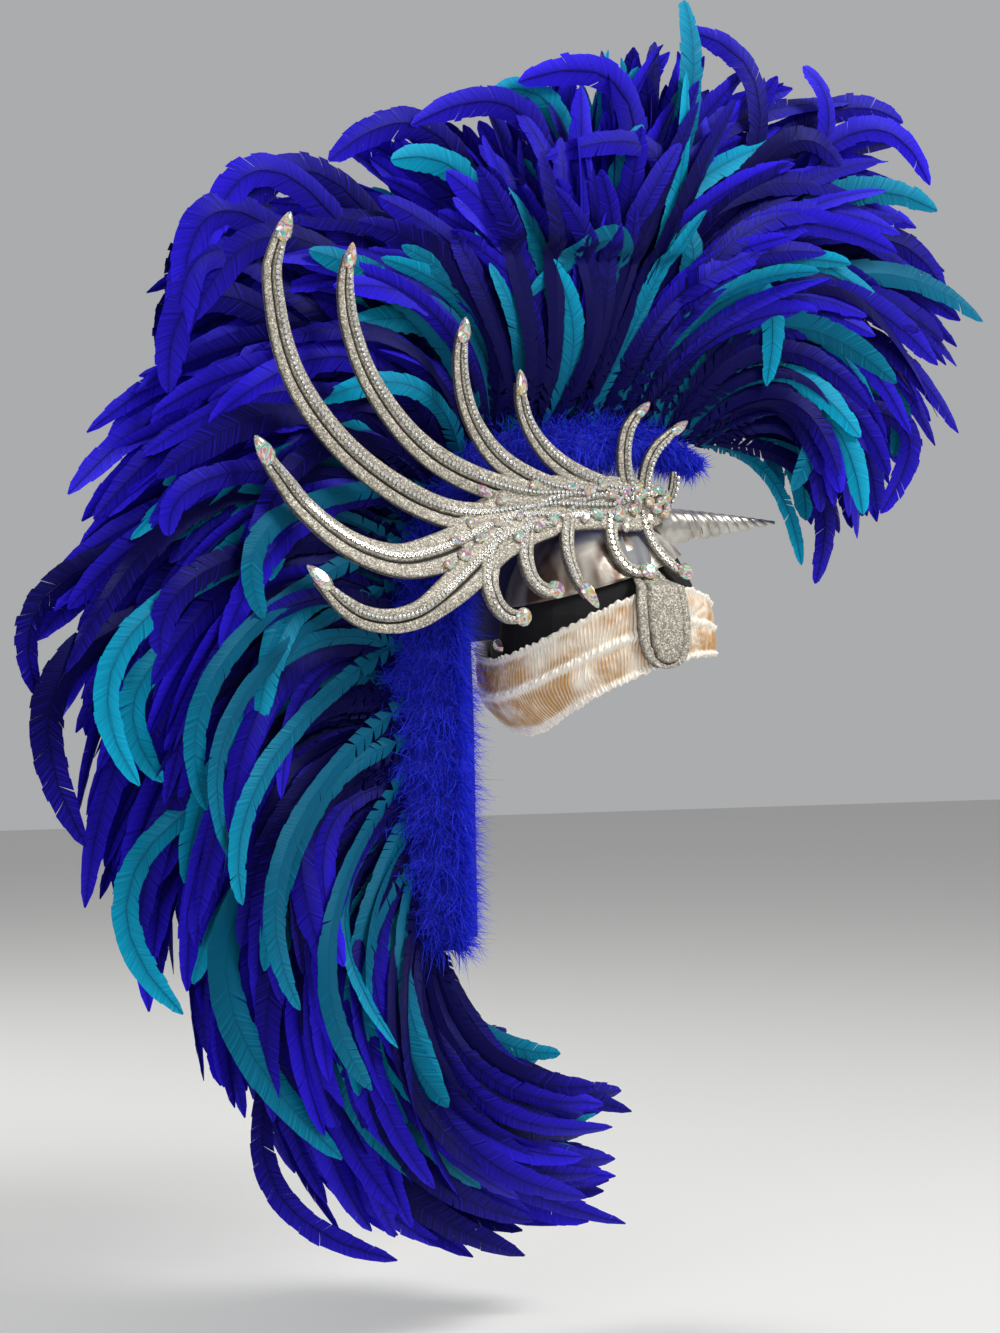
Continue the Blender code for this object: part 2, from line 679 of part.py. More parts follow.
def ridge_line(count):
    """Even points and outward directions along the ridge."""
    points = smooth_path(ridge_points(), count)
    frames = []
    for i, point in enumerate(points):
        along = (points[min(i + 1, count - 1)] - points[max(i - 1, 0)]).normalized()
        frames.append((point, Vector((-along.y, along.x)) * -1.0))
    return frames


def ridge_at(share, offset):
    """A point at a share of the ridge line, moved outward."""
    frames = ridge_line(RIDGE_SAMPLES)
    place = share * (len(frames) - 1)
    i = min(int(place), len(frames) - 2)
    point = frames[i][0].lerp(frames[i + 1][0], place - i)
    outward = frames[i][1].lerp(frames[i + 1][1], place - i).normalized()
    return point + outward * offset


def build_ridge_frame(materials, collection):
    """Plate that stands on the cap and carries the marabou down the back."""
    outer = []
    inner = []
    gap = MARABOU_HALF_HEIGHT + SEAT + FIT
    for i in range(FRAME_POINTS + 1):
        share = FRAME_START + (FRAME_END - FRAME_START) * i / FRAME_POINTS
        outer.append(ridge_at(share, -gap))
        inner.append(ridge_at(share, -gap - RIDGE_STRIP))
    top = CAP_HEIGHT + silver_grow()
    lower = []
    for i in range(FOOT_POINTS + 1):
        height = top * math.sin(FOOT_TOP + (FOOT_BOTTOM - FOOT_TOP) * i / FOOT_POINTS)
        reach = (CAP_LENGTH / 2 + silver_grow()) * dome_share(height, top)
        lower.append(Vector((-reach - FIT, height + FIT)))
    lower.insert(0, Vector((0.0, top + FIT)))
    foot = lower[-1].y
    tail = [point for point in inner if point.y < foot]
    outline = outer + list(reversed(tail)) + list(reversed(lower))
    plate = plate_mesh([tuple(point) for point in outline], RIDGE_WIDTH, collection)
    for vert in plate.vertices:
        across, up, side = vert.co
        vert.co = (across, -side, up)
    add_object("ridge_frame", plate, materials["ridge_frame"], collection)


def marabou_section(point, outward, width, height):
    """Ten points round the ridge with flat inner and outer seats."""
    shape = ((0.35, -1.0), (0.8, -0.6), (1.0, 0.0), (0.8, 0.6), (0.35, 1.0),
             (-0.35, 1.0), (-0.8, 0.6), (-1.0, 0.0), (-0.8, -0.6), (-0.35, -1.0))
    ring = []
    for across, up in shape:
        place = point + outward * (up * height)
        ring.append((place.x, across * width, place.y))
    return ring


def build_marabou(name, start, end, materials, collection):
    """Padded boa of marabou tufts along a stretch of the ridge."""
    length = (end - start) * path_length(ridge_points())
    count = max(6, round(length / MARABOU_STEP))
    rings = []
    for i in range(count + 1):
        share = start + (end - start) * i / count
        point = ridge_at(share, 0.0)
        outward = (ridge_at(share, 0.001) - point).normalized()
        at_free_end = share in (0.0, 1.0)
        tuft = MARABOU_TUFT if i % 2 else -MARABOU_TUFT
        width = (MARABOU_HALF_WIDTH + tuft) * (MARABOU_END_WIDTH if at_free_end else 1.0)
        height = MARABOU_HALF_HEIGHT * (MARABOU_END_HEIGHT if at_free_end else 1.0)
        rings.append(marabou_section(point, outward, width, height))
    mesh = mesh_from_rings(rings)
    mesh.shade_smooth()
    add_object(name, mesh, materials["marabou"], collection)


def lock_curve(lock, reach):
    """Points along one lock, from its root on the marabou to its tip."""
    root, forward, up, bow = lock
    start = ridge_at(root, MARABOU_HALF_HEIGHT + SEAT + FIT)
    end = Vector((forward, up)) * MANE_REACH
    return [curve_between(start, end, bow, place * reach) for place, _ in LOCK_DEPTHS]


def parting(first, second):
    """The lock row halfway between two neighbouring locks."""
    return tuple((a + b) / 2 for a, b in zip(first, second))


def shifted_curve(points, shift):
    """A curve moved aside, to leave a gap to the next section."""
    moved = []
    for i, point in enumerate(points):
        along = points[min(i + 1, len(points) - 1)] - points[max(i - 1, 0)]
        moved.append(point + Vector((-along.y, along.x)).normalized() * shift)
    return moved


def mane_columns(locks, first_edge, last_edge):
    """Locks and the partings between them, each with its share of the depth."""
    half_gap = MANE_SPLIT_GAP / 2
    edge = shifted_curve(lock_curve(first_edge, MANE_VALLEY), half_gap)
    columns = [(edge, MANE_VALLEY_DEPTH)]
    for i, lock in enumerate(locks):
        columns.append((lock_curve(lock, 1.0), 1.0))
        if i < len(locks) - 1:
            valley = parting(lock, locks[i + 1])
            columns.append((lock_curve(valley, MANE_VALLEY), MANE_VALLEY_DEPTH))
    edge = shifted_curve(lock_curve(last_edge, MANE_VALLEY), -half_gap)
    columns.append((edge, MANE_VALLEY_DEPTH))
    return columns


def build_mane_section(name, columns, fullness, materials, collection):
    """Fan of locks fused along their sides, with free pointed tips."""
    shape = bmesh.new()
    right = []
    left = []
    for points, depth_share in columns:
        depths = [MANE_DEPTH * fullness * depth * depth_share for _, depth in LOCK_DEPTHS]
        depths[0] = MANE_ROOT
        right.append([shape.verts.new((point.x, -depth, point.y))
                      for point, depth in zip(points, depths)])
        left.append([shape.verts.new((point.x, depth, point.y))
                     for point, depth in zip(points, depths)])
    last_row = len(LOCK_DEPTHS) - 1
    for i in range(len(columns) - 1):
        for rows in (right, left):
            for j in range(last_row):
                shape.faces.new((rows[i][j], rows[i][j + 1], rows[i + 1][j + 1], rows[i + 1][j]))
        for j in (0, last_row):
            shape.faces.new((right[i][j], right[i + 1][j], left[i + 1][j], left[i][j]))
    for i in (0, -1):
        for j in range(last_row):
            shape.faces.new((right[i][j], right[i][j + 1], left[i][j + 1], left[i][j]))
    bmesh.ops.recalc_face_normals(shape, faces=shape.faces)
    mesh = bpy.data.meshes.new(name)
    shape.to_mesh(mesh)
    shape.free()
    mesh.shade_smooth()
    add_object(name, mesh, materials["cock_feather"], collection)


def build_mane(materials, collection):
    """Five sections of mane, parted where one section meets the next."""
    for i, (name, locks, fullness) in enumerate(MANE_SECTIONS):
        first_edge = MANE_BROW_END
        last_edge = MANE_TAIL_END
        if i > 0:
            first_edge = parting(MANE_SECTIONS[i - 1][1][-1], locks[0])
        if i < len(MANE_SECTIONS) - 1:
            last_edge = parting(locks[-1], MANE_SECTIONS[i + 1][1][0])
        columns = mane_columns(locks, first_edge, last_edge)
        build_mane_section(name, columns, fullness, materials, collection)


def wing_offset():
    """Distance of the upright part from the middle plane, so the fold meets the cap."""
    side = CAP_WIDTH / 2 + silver_grow()
    seat = side * dome_share(WING_SEAT_HEIGHT, CAP_HEIGHT + silver_grow())
    fold = WING_FOLD_SLOPE * (WING_FOLD_HEIGHT - WING_SEAT_HEIGHT)
    return seat + WING_SEAT_GAP + WING_THICKNESS / 2 - fold


def wing_surface(forward, height):
    """Distance of the wing's middle surface from the middle plane."""
    fold = min(max(WING_FOLD_HEIGHT - height, 0.0), WING_FOLD_DEPTH)
    return (wing_offset() + WING_FOLD_SLOPE * fold
            + WING_FLARE * max(WING_FLARE_FROM - forward, 0.0))


def wing_place(forward_share, up_share):
    """Side-view place of a point given as shares of the wing span."""
    return Vector((forward_share * WING_SPAN, WING_HUB_HEIGHT + up_share * WING_SPAN))


def bend_to_wing(mesh):
    """Crease a flat mesh along the wing's fold lines and bend it into place."""
    shape = bmesh.new()
    shape.from_mesh(mesh)
    bmesh.ops.dissolve_limit(shape, angle_limit=math.radians(0.5), verts=shape.verts,
                             edges=shape.edges)
    bmesh.ops.triangulate(shape, faces=shape.faces)
    creases = (((0, WING_FOLD_HEIGHT, 0), (0, 1, 0)),
               ((0, WING_FOLD_HEIGHT - WING_FOLD_DEPTH, 0), (0, 1, 0)),
               ((WING_FLARE_FROM, 0, 0), (1, 0, 0)))
    for place, direction in creases:
        everything = shape.verts[:] + shape.edges[:] + shape.faces[:]
        bmesh.ops.bisect_plane(shape, geom=everything, plane_co=place, plane_no=direction,
                               dist=0.00001)
    for vert in shape.verts:
        forward, height, out = vert.co
        vert.co = (forward, -wing_surface(forward, height) - out, height)
    bmesh.ops.triangulate(shape, faces=shape.faces)
    bent = bpy.data.meshes.new("bent")
    shape.to_mesh(bent)
    shape.free()
    return bent


def strip_outline(rows):
    """Outline of a tapered strip along a smooth line of (place, width) rows."""
    points = [Vector((*wing_place(x, z), width * WING_SPAN)) for x, z, width in rows]
    flat = [Vector((point.x, point.y)) for point in points]
    count = max(4, round(path_length(flat) / ARM_STEP) + 1)
    path = smooth_path(points, count)
    near = []
    far = []
    for i, point in enumerate(path):
        along = path[min(i + 1, count - 1)] - path[max(i - 1, 0)]
        side = Vector((-along.y, along.x)).normalized() * (point.z / 2)
        near.append((point.x + side.x, point.y + side.y))
        far.append((point.x - side.x, point.y - side.y))
    return near + list(reversed(far))


def build_wings(materials, collection, cutters):
    """Pair of cut-out wings: curved arms fused to a body, bent over the cap."""
    mesh = plate_mesh(strip_outline(WING_BODY), WING_THICKNESS, cutters)
    for rows in WING_ARMS.values():
        arm = plate_mesh(strip_outline(rows), WING_THICKNESS, cutters)
        mesh = boolean_mesh(mesh, arm, "UNION", cutters)
    add_pair("wing", bend_to_wing(mesh), materials["glitter_foam"], collection)


def chain_path(name):
    """Flat route of one arm's chain, from just below its tip stone."""
    last, join = CHAIN_JOINS[name]
    rows = WING_ARMS[name][:last + 1]
    points = [wing_place(x, z) for x, z, _ in rows[:-1]] + [wing_place(*join)]
    skip = CHAIN_END_GAP
    if name in TIP_STONES:
        skip += TIP_STONES[name][0] * WING_SPAN
    length = path_length(points)
    count = max(3, round((length - skip) / CHAIN_STEP) + 1)
    fine = smooth_path(points, CHAIN_SAMPLES)
    lengths = [0.0]
    for start, end in zip(fine, fine[1:]):
        lengths.append(lengths[-1] + (end - start).length)
    return [point_at(fine, lengths, skip + (lengths[-1] - skip) * i / (count - 1))
            for i in range(count)]


def build_chains(materials, collection, cutters):
    """Rhinestone chain down every arm, joined along the wing's body.

    Each chain lies a hair higher than the one before, so no two share a face.
    """
    lift = WING_THICKNESS / 2 + SEAT + CHAIN_RADIUS
    trunk = [(*wing_place(x, z), lift) for x, z in CHAIN_TRUNK]
    mesh = tube_mesh(trunk, CHAIN_RADIUS, cutters)
    for i, name in enumerate(CHAIN_JOINS):
        height = lift + CHAIN_STAGGER * (i + 1)
        route = [(*point, height) for point in chain_path(name)]
        tube = tube_mesh(route, CHAIN_RADIUS, cutters)
        mesh = boolean_mesh(mesh, tube, "UNION", cutters, "MANIFOLD")
    add_pair("wing_chain", bend_to_wing(mesh), materials["rhinestone_chain"], collection)


def stone_mesh(half_length, half_width, pull):
    """Flat-backed cut stone: eight crown facets up to a table."""
    shape = bmesh.new()
    bmesh.ops.create_cone(shape, cap_ends=True, segments=STONE_SIDES, radius1=1.0,
                          radius2=STONE_TABLE, depth=STONE_HEIGHT)
    for vert in shape.verts:
        along = vert.co.x
        vert.co.x = along * half_length
        vert.co.y = vert.co.y * half_width * (1.0 - pull * along)
        vert.co.z += STONE_HEIGHT / 2
    mesh = bpy.data.meshes.new("stone")
    shape.to_mesh(mesh)
    shape.free()
    return mesh


def set_stone_on_wing(mesh, centre, direction):
    """Turn a stone to its arm and lay it on the wing's outer face."""
    reach = STONE_REACH
    slope_x = (wing_surface(centre.x + reach, centre.y)
               - wing_surface(centre.x - reach, centre.y)) / (2 * reach)
    slope_z = (wing_surface(centre.x, centre.y + reach)
               - wing_surface(centre.x, centre.y - reach)) / (2 * reach)
    side = Vector((-direction.y, direction.x))
    flat = [centre + direction * vert.co.x + side * vert.co.y for vert in mesh.vertices]
    middle = wing_surface(centre.x, centre.y)
    lift = max(wing_surface(point.x, point.y) - middle
               - slope_x * (point.x - centre.x) - slope_z * (point.y - centre.y)
               for point in flat)
    seat = middle + max(lift, 0.0) + WING_THICKNESS / 2 + SEAT
    for vert, point in zip(mesh.vertices, flat):
        out = (seat + slope_x * (point.x - centre.x) + slope_z * (point.y - centre.y)
               + vert.co.z)
        vert.co = (point.x, -out, point.y)
    shape = bmesh.new()
    shape.from_mesh(mesh)
    bmesh.ops.recalc_face_normals(shape, faces=shape.faces)
    shape.to_mesh(mesh)
    shape.free()


def build_wing_stones(materials, collection):
    """A crystal at the tip of each arm and the main crystals on the body."""
    for name, (half_length, half_width, pull) in TIP_STONES.items():
        tip = wing_place(*WING_ARMS[name][0][:2])
        next_point = wing_place(*WING_ARMS[name][1][:2])
        mesh = stone_mesh(half_length * WING_SPAN, half_width * WING_SPAN, pull)
        set_stone_on_wing(mesh, tip, (tip - next_point).normalized())
        add_pair("tip_stone_" + name, mesh, materials["aurora_crystal"], collection)
    for name, (x, z, half_length, half_width, pull, turn) in BODY_STONES.items():
        mesh = stone_mesh(half_length * WING_SPAN, half_width * WING_SPAN, pull)
        direction = Vector((math.cos(turn), math.sin(turn)))
        set_stone_on_wing(mesh, wing_place(x, z), direction)
        add_pair("body_stone_" + name, mesh, materials["aurora_crystal"], collection)


def wrapped_plate(outline, section, bottom, height, middle, half_angle, stand_off, thickness):
    """A plate wrapped round the side of the cap, with a stepped outer face."""
    grow = silver_grow()
    rings = []
    for up, width in outline:
        level = bottom + up * height
        share = dome_share(level, CAP_HEIGHT + grow)
        inner = []
        outer = []
        for across, thick in section:
            turn = -middle + half_angle * width * (1.0 - 2.0 * across)
            edge = NARROW_THICKNESS if width < NARROW_WIDTH else 1.0
            for row, out in ((inner, 0.0), (outer, thickness * thick * edge)):
                reach = stand_off + out
                row.append((((CAP_LENGTH / 2 + grow) * share + reach) * math.cos(turn),
                            ((CAP_WIDTH / 2 + grow) * share + reach) * math.sin(turn),
                            level))
        rings.append(inner + list(reversed(outer)))
    return mesh_from_rings(rings)


def build_tabs(materials, collection):
    """Glitter tab over each temple, lying on the ruched band."""
    stand_off = BAND_THICKNESS + BAND_FIT + FIT + SEAT - silver_grow()
    arm_end = wing_place(*WING_ARMS["c5"][0][:2]).y - TIP_STONES["c5"][0] * WING_SPAN
    height = arm_end - TAB_CLEARANCE - TAB_BOTTOM
    mesh = wrapped_plate(TAB_OUTLINE, TAB_SECTION, TAB_BOTTOM, height, TAB_MIDDLE,
                         TAB_HALF_ANGLE, stand_off, TAB_THICKNESS)
    add_pair("temple_tab", mesh, materials["glitter_foam"], collection)


def build_leaves(materials, collection):
    """Folded satin leaf on the cap between the two front lower arms."""
    mesh = wrapped_plate(LEAF_OUTLINE, LEAF_SECTION, LEAF_BOTTOM, LEAF_HEIGHT, LEAF_MIDDLE,
                         LEAF_HALF_ANGLE, FIT, LEAF_THICKNESS)
    add_pair("satin_leaf", mesh, materials["grey_satin"], collection)


def build_cap_stone(materials, collection):
    """One tilted crystal on the back of the black cap."""
    mesh = stone_mesh(CAP_STONE_LENGTH / 2, CAP_STONE_WIDTH / 2, 0.0)
    seat = -CAP_LENGTH / 2 * dome_share(CAP_STONE_HEIGHT, CAP_HEIGHT) - SEAT
    for vert in mesh.vertices:
        along, across, out = vert.co
        vert.co = (seat - out,
                   along * math.sin(CAP_STONE_TILT) + across * math.cos(CAP_STONE_TILT),
                   CAP_STONE_HEIGHT + along * math.cos(CAP_STONE_TILT)
                   - across * math.sin(CAP_STONE_TILT))
    add_object("cap_stone", mesh, materials["aurora_crystal"], collection)


def build_headdress():
    clear_scene()
    collection = make_collection("feather_headdress")
    cutters = make_collection("cutters")
    materials = make_materials()
    build_caps(materials, collection)
    build_band(materials, collection)
    build_horn(materials, collection, cutters)
    build_ridge_frame(materials, collection)
    half_parting = MARABOU_PARTING / 2
    build_marabou("marabou_crown", 0.0, MARABOU_SPLIT - half_parting, materials, collection)
    build_marabou("marabou_back", MARABOU_SPLIT + half_parting, 1.0, materials, collection)
    build_mane(materials, collection)
    build_wings(materials, collection, cutters)
    build_chains(materials, collection, cutters)
    build_wing_stones(materials, collection)
    build_tabs(materials, collection)
    build_leaves(materials, collection)
    build_cap_stone(materials, collection)


build_headdress()
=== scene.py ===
"""Showgirl feather headdress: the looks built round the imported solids.

Metres, +Z up, +X to the wearer's front, +Y to the wearer's left.
"""
import math

import bpy
import numpy as np
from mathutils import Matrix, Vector


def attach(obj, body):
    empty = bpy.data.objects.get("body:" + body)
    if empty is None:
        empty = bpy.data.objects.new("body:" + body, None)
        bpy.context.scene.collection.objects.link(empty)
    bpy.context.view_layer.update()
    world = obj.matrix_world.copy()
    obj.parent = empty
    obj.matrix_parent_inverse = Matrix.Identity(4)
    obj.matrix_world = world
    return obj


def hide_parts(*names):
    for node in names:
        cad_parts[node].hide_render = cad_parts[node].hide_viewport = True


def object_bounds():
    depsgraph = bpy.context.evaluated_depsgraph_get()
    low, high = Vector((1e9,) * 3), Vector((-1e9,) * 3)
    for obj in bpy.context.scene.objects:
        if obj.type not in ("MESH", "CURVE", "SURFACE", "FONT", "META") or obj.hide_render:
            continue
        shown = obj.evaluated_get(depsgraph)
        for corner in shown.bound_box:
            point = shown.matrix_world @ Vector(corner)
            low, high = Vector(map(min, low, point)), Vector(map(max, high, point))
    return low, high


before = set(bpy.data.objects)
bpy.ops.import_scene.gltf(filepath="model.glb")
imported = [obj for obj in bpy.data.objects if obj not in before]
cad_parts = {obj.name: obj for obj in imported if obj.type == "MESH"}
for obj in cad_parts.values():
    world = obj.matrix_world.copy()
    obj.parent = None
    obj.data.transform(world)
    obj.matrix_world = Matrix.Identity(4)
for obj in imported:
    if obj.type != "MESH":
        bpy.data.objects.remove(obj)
CAD_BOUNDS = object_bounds()

# Camera
# The headdress is seen from behind the wearer's right ear, level with the cap.
# The frame is upright, 1000 by 1333, and nothing is shifted.
CAMERA_PLACE = Vector((-1.274, -2.036, -0.001))
CAMERA_AIM = Vector((0.5, 0.866, 0.0))
CAMERA_LENS = 73.6

camera_data = bpy.data.cameras.new("camera")
camera_data.lens = CAMERA_LENS
camera_data.sensor_width = 36.0
camera_data.sensor_fit = "AUTO"
camera = bpy.data.objects.new("camera", camera_data)
camera.location = CAMERA_PLACE
camera.rotation_euler = CAMERA_AIM.to_track_quat("-Z", "Y").to_euler()
bpy.context.scene.collection.objects.link(camera)
bpy.context.scene.camera = camera

# Studio
# A pale matt floor, a pale sky and three large soft lamps: one high at the front
# for the sheen on the feathers, a weak one behind the camera and one for the rim.
FLOOR_DROP = 0.060
FLOOR_SIZE = 14.0
SKY_STRENGTH = 0.50
# Lamps: name, place, size and power in watts
LAMPS = (
    ("key_lamp", (1.1, -1.7, 2.2), 1.0, 74.0),
    ("fill_lamp", (-2.4, -1.9, 0.7), 1.8, 22.0),
    ("rim_lamp", (-1.2, 1.9, 1.7), 1.4, 40.0),
)


def linear(hex_colour):
    """A colour as written for the screen, turned to the values that light uses."""
    channels = [int(hex_colour[i:i + 2], 16) / 255 for i in (1, 3, 5)]
    return tuple(c / 12.92 if c <= 0.04045 else ((c + 0.055) / 1.055) ** 2.4
                 for c in channels) + (1.0,)


def add_node(material, kind, settings=None, inputs=None, links=None):
    """Adds one node: its settings, the values on its sockets and what feeds them."""
    tree = material.node_tree
    node = tree.nodes.new(kind)
    for key, value in (settings or {}).items():
        setattr(node, key, value)
    for key, value in (inputs or {}).items():
        node.inputs[key].default_value = value
    for key, socket in (links or {}).items():
        tree.links.new(socket, node.inputs[key])
    return node


def new_material(name, colour, roughness, metallic=0.0, **values):
    """A Principled material with its plain values set on the shader itself."""
    material = bpy.data.materials.new(name)
    material.use_nodes = True
    shader = material.node_tree.nodes["Principled BSDF"]
    shader.inputs["Base Color"].default_value = linear(colour)
    shader.inputs["Roughness"].default_value = roughness
    shader.inputs["Metallic"].default_value = metallic
    for key, value in values.items():
        shader.inputs[key.replace("_", " ")].default_value = value
    material.diffuse_color = linear(colour)
    return material, shader


def feed(material, socket, shader, name):
    """Links a pattern to a socket of the shader."""
    material.node_tree.links.new(socket, shader.inputs[name])


def add_mesh(name, points, faces, material, smooth=True):
    """A new object from its points and faces."""
    mesh = bpy.data.meshes.new(name)
    mesh.from_pydata([tuple(point) for point in points], [], [tuple(face) for face in faces])
    mesh.materials.append(material)
    if smooth:
        mesh.shade_smooth()
    item = bpy.data.objects.new(name, mesh)
    bpy.context.scene.collection.objects.link(item)
    return item


# Matt painted board: even, with no gloss
floor_paint, _ = new_material("matt_floor_paint", "#d9d9d6", 0.9)
floor_level = CAD_BOUNDS[0][2] - FLOOR_DROP
floor_corners = [(x * FLOOR_SIZE / 2, y * FLOOR_SIZE / 2, floor_level)
                 for x, y in ((-1, -1), (1, -1), (1, 1), (-1, 1))]
studio_floor = add_mesh("studio_floor", floor_corners, [(0, 1, 2, 3)], floor_paint, False)

world = bpy.data.worlds.new("studio")
world.use_nodes = True
world.node_tree.nodes["Background"].inputs["Color"].default_value = linear("#e9eaec")
world.node_tree.nodes["Background"].inputs["Strength"].default_value = SKY_STRENGTH
bpy.context.scene.world = world
bpy.context.scene.view_settings.view_transform = "Standard"
for lamp_name, place, size, power in LAMPS:
    lamp_data = bpy.data.lights.new(lamp_name, "AREA")
    lamp_data.size = size
    lamp_data.energy = power
    lamp = bpy.data.objects.new(lamp_name, lamp_data)
    lamp.location = place
    lamp.rotation_euler = (-Vector(place)).to_track_quat("-Z", "Y").to_euler()
    bpy.context.scene.collection.objects.link(lamp)


# Base cap
# The wall that takes the head: a stiff cap covered in black napped felt. It shows
# between the ruched band and the silver cap, so it keeps its solid.
CAP_LENGTH = 0.198
CAP_WIDTH = 0.162
CAP_HEIGHT = 0.1255
CAP_ROUNDNESS = 2.5
# Real nap is about 0.3 mm long, and is drawn at 1.2 mm so that it shows
FELT_NAP = 0.0012


def place_on(material):
    """The place on a piece, in metres, by which its patterns are laid."""
    return add_node(material, "ShaderNodeTexCoord").outputs["Object"]


def noise_over(material, size, detail=2.0, **settings):
    """Noise that lies fixed on a piece, with grains of a size in metres."""
    return add_node(material, "ShaderNodeTexNoise", settings,
                    {"Scale": 1.0 / size, "Detail": detail}, {0: place_on(material)}).outputs[0]


def raise_by(material, shader, pattern, strength, distance):
    """Raises the surface by a pattern, up to a distance in metres."""
    bump = add_node(material, "ShaderNodeBump", None,
                    {"Strength": strength, "Distance": distance}, {"Height": pattern})
    feed(material, bump.outputs[0], shader, "Normal")


def tint_by(material, shader, pattern, first, second):
    """Colours the surface by a pattern, from the first colour to the second."""
    blend = add_node(material, "ShaderNodeMix", {"data_type": "RGBA"},
                     {6: linear(first), 7: linear(second)}, {0: pattern})
    feed(material, blend.outputs[2], shader, "Base Color")


def dress_node(node, material):
    """Gives a solid of the frame its finish."""
    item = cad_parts[node]
    item.data.materials.clear()
    item.data.materials.append(material)


# Felt: deep matt black with a greyer nap
black_felt, shader = new_material("napped_black_felt", "#0b0b0d", 0.92)
nap = noise_over(black_felt, FELT_NAP, 4.0)
raise_by(black_felt, shader, nap, 0.5, 0.0004)
tint_by(black_felt, shader, nap, "#060607", "#17171a")
dress_node("base_cap", black_felt)


# Silver cap
# Mirror vinyl stretched over the crown and glued, with soft ripples where it is
# drawn in. Its lower edge slopes from above the brow to the nape.
SILVER_GROW = 0.0021
SILVER_WALL = 0.0015
SILVER_EDGE_HEIGHT = 0.078
SILVER_EDGE_SLOPE = 0.30
SILVER_EDGE_LOWEST = -0.05
SILVER_EDGE_HIGHEST = 0.12
SILVER_TURNS = 144
SILVER_ROWS = 40
SILVER_RIPPLE = 0.0007
# Orange peel 17 mm across, and painted reflection streaks, dark bronze to near white, 29 mm wide and
# 143 mm high
VINYL_PEEL = 1 / 60
REFLECTION_STREAK_WIDTH = 1 / 34
REFLECTION_STREAK_HEIGHT = 1 / 7


def add_piece(name, points, faces, material, nodes=(), smooth=True):
    """A piece that rides on the headdress and stands for the named solids."""
    item = add_mesh(name, points, faces, material, smooth)
    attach(item, "root")
    if nodes:
        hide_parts(*nodes)
    return item


def dome_share(height, top):
    """How wide the dome is at a height, as a share of its full width."""
    share = min(max(height, 0.0) / top, 1.0)
    return (1.0 - share**CAP_ROUNDNESS) ** (1.0 / CAP_ROUNDNESS)


def grid_faces(rows, columns, closed):
    """Faces of a grid of points, row by row; closed joins the last column to the first."""
    faces = []
    for row in range(rows - 1):
        for column in range(columns if closed else columns - 1):
            after = (column + 1) % columns
            faces.append((row * columns + column, row * columns + after,
                          (row + 1) * columns + after, (row + 1) * columns + column))
    return faces


def cap_point(turn, share, out, level):
    """A place round the cap, at a share of the silver cap's width and out from there."""
    return (((CAP_LENGTH / 2 + SILVER_GROW) * share + out) * math.cos(turn),
            ((CAP_WIDTH / 2 + SILVER_GROW) * share + out) * math.sin(turn), level)


def ramp_colours(material, factor, stops):
    """Colours along a factor, through stops of place and colour."""
    node = add_node(material, "ShaderNodeValToRGB", None, None, {0: factor})
    elements = node.color_ramp.elements
    for i, (place, colour) in ((0, stops[0]), (1, stops[-1])):
        elements[i].position = place
        elements[i].color = linear(colour)
    for place, colour in stops[1:-1]:
        elements.new(place).color = linear(colour)
    return node.outputs[0]


def silver_edge(turn):
    """Height of the vinyl's lower edge at a turn round the head."""
    low, high = SILVER_EDGE_LOWEST, SILVER_EDGE_HIGHEST
    for _ in range(30):
        level = (low + high) / 2
        forward = (CAP_LENGTH / 2 + SILVER_GROW) * dome_share(level, CAP_HEIGHT) * math.cos(turn)
        if level < SILVER_EDGE_HEIGHT + SILVER_EDGE_SLOPE * forward:
            low = level
        else:
            high = level
    return (low + high) / 2


points = []
for row in range(SILVER_ROWS):
    for column in range(SILVER_TURNS):
        turn = 2 * math.pi * column / SILVER_TURNS
        climb = row / (SILVER_ROWS - 1)
        edge = silver_edge(turn)
        top = CAP_HEIGHT + SILVER_GROW
        level = edge + (top - edge) * math.sin(climb * math.pi / 2)
        share = dome_share(level, top)
        ripple = SILVER_RIPPLE * (math.sin(9 * turn + 7 * climb) + 0.6 * math.sin(17 * turn)
                                  ) * (1 - climb) ** 1.5
        points.append(cap_point(turn, share, ripple, level))
faces = grid_faces(SILVER_ROWS, SILVER_TURNS, True)
# Mirror vinyl: a soft mirror with painted reflections in tall streaks from dark bronze to near white,
# and a faint orange peel
mirror_vinyl, shader = new_material("mirror_silver_vinyl", "#b5aca2", 0.26, 0.60)
stretched = add_node(mirror_vinyl, "ShaderNodeMapping", None,
                     {"Scale": (1 / REFLECTION_STREAK_WIDTH, 1 / REFLECTION_STREAK_WIDTH, 1 / REFLECTION_STREAK_HEIGHT)},
                     {"Vector": place_on(mirror_vinyl)})
reflection_streaks = add_node(mirror_vinyl, "ShaderNodeTexNoise", None, {"Scale": 1.0, "Detail": 2.0},
                 {"Vector": stretched.outputs[0]})
painted_reflections = ramp_colours(mirror_vinyl, reflection_streaks.outputs[0], ((0.38, "#6a5546"), (0.62, "#fbf3e6")))
feed(mirror_vinyl, painted_reflections, shader, "Base Color")
raise_by(mirror_vinyl, shader, noise_over(mirror_vinyl, VINYL_PEEL), 0.35, 0.002)
silver_cap = add_piece("silver_cap_vinyl", points, faces, mirror_vinyl,
                       ["silver_cap"])
wall = silver_cap.modifiers.new("wall", "SOLIDIFY")
wall.thickness = SILVER_WALL
wall.offset = 1.0
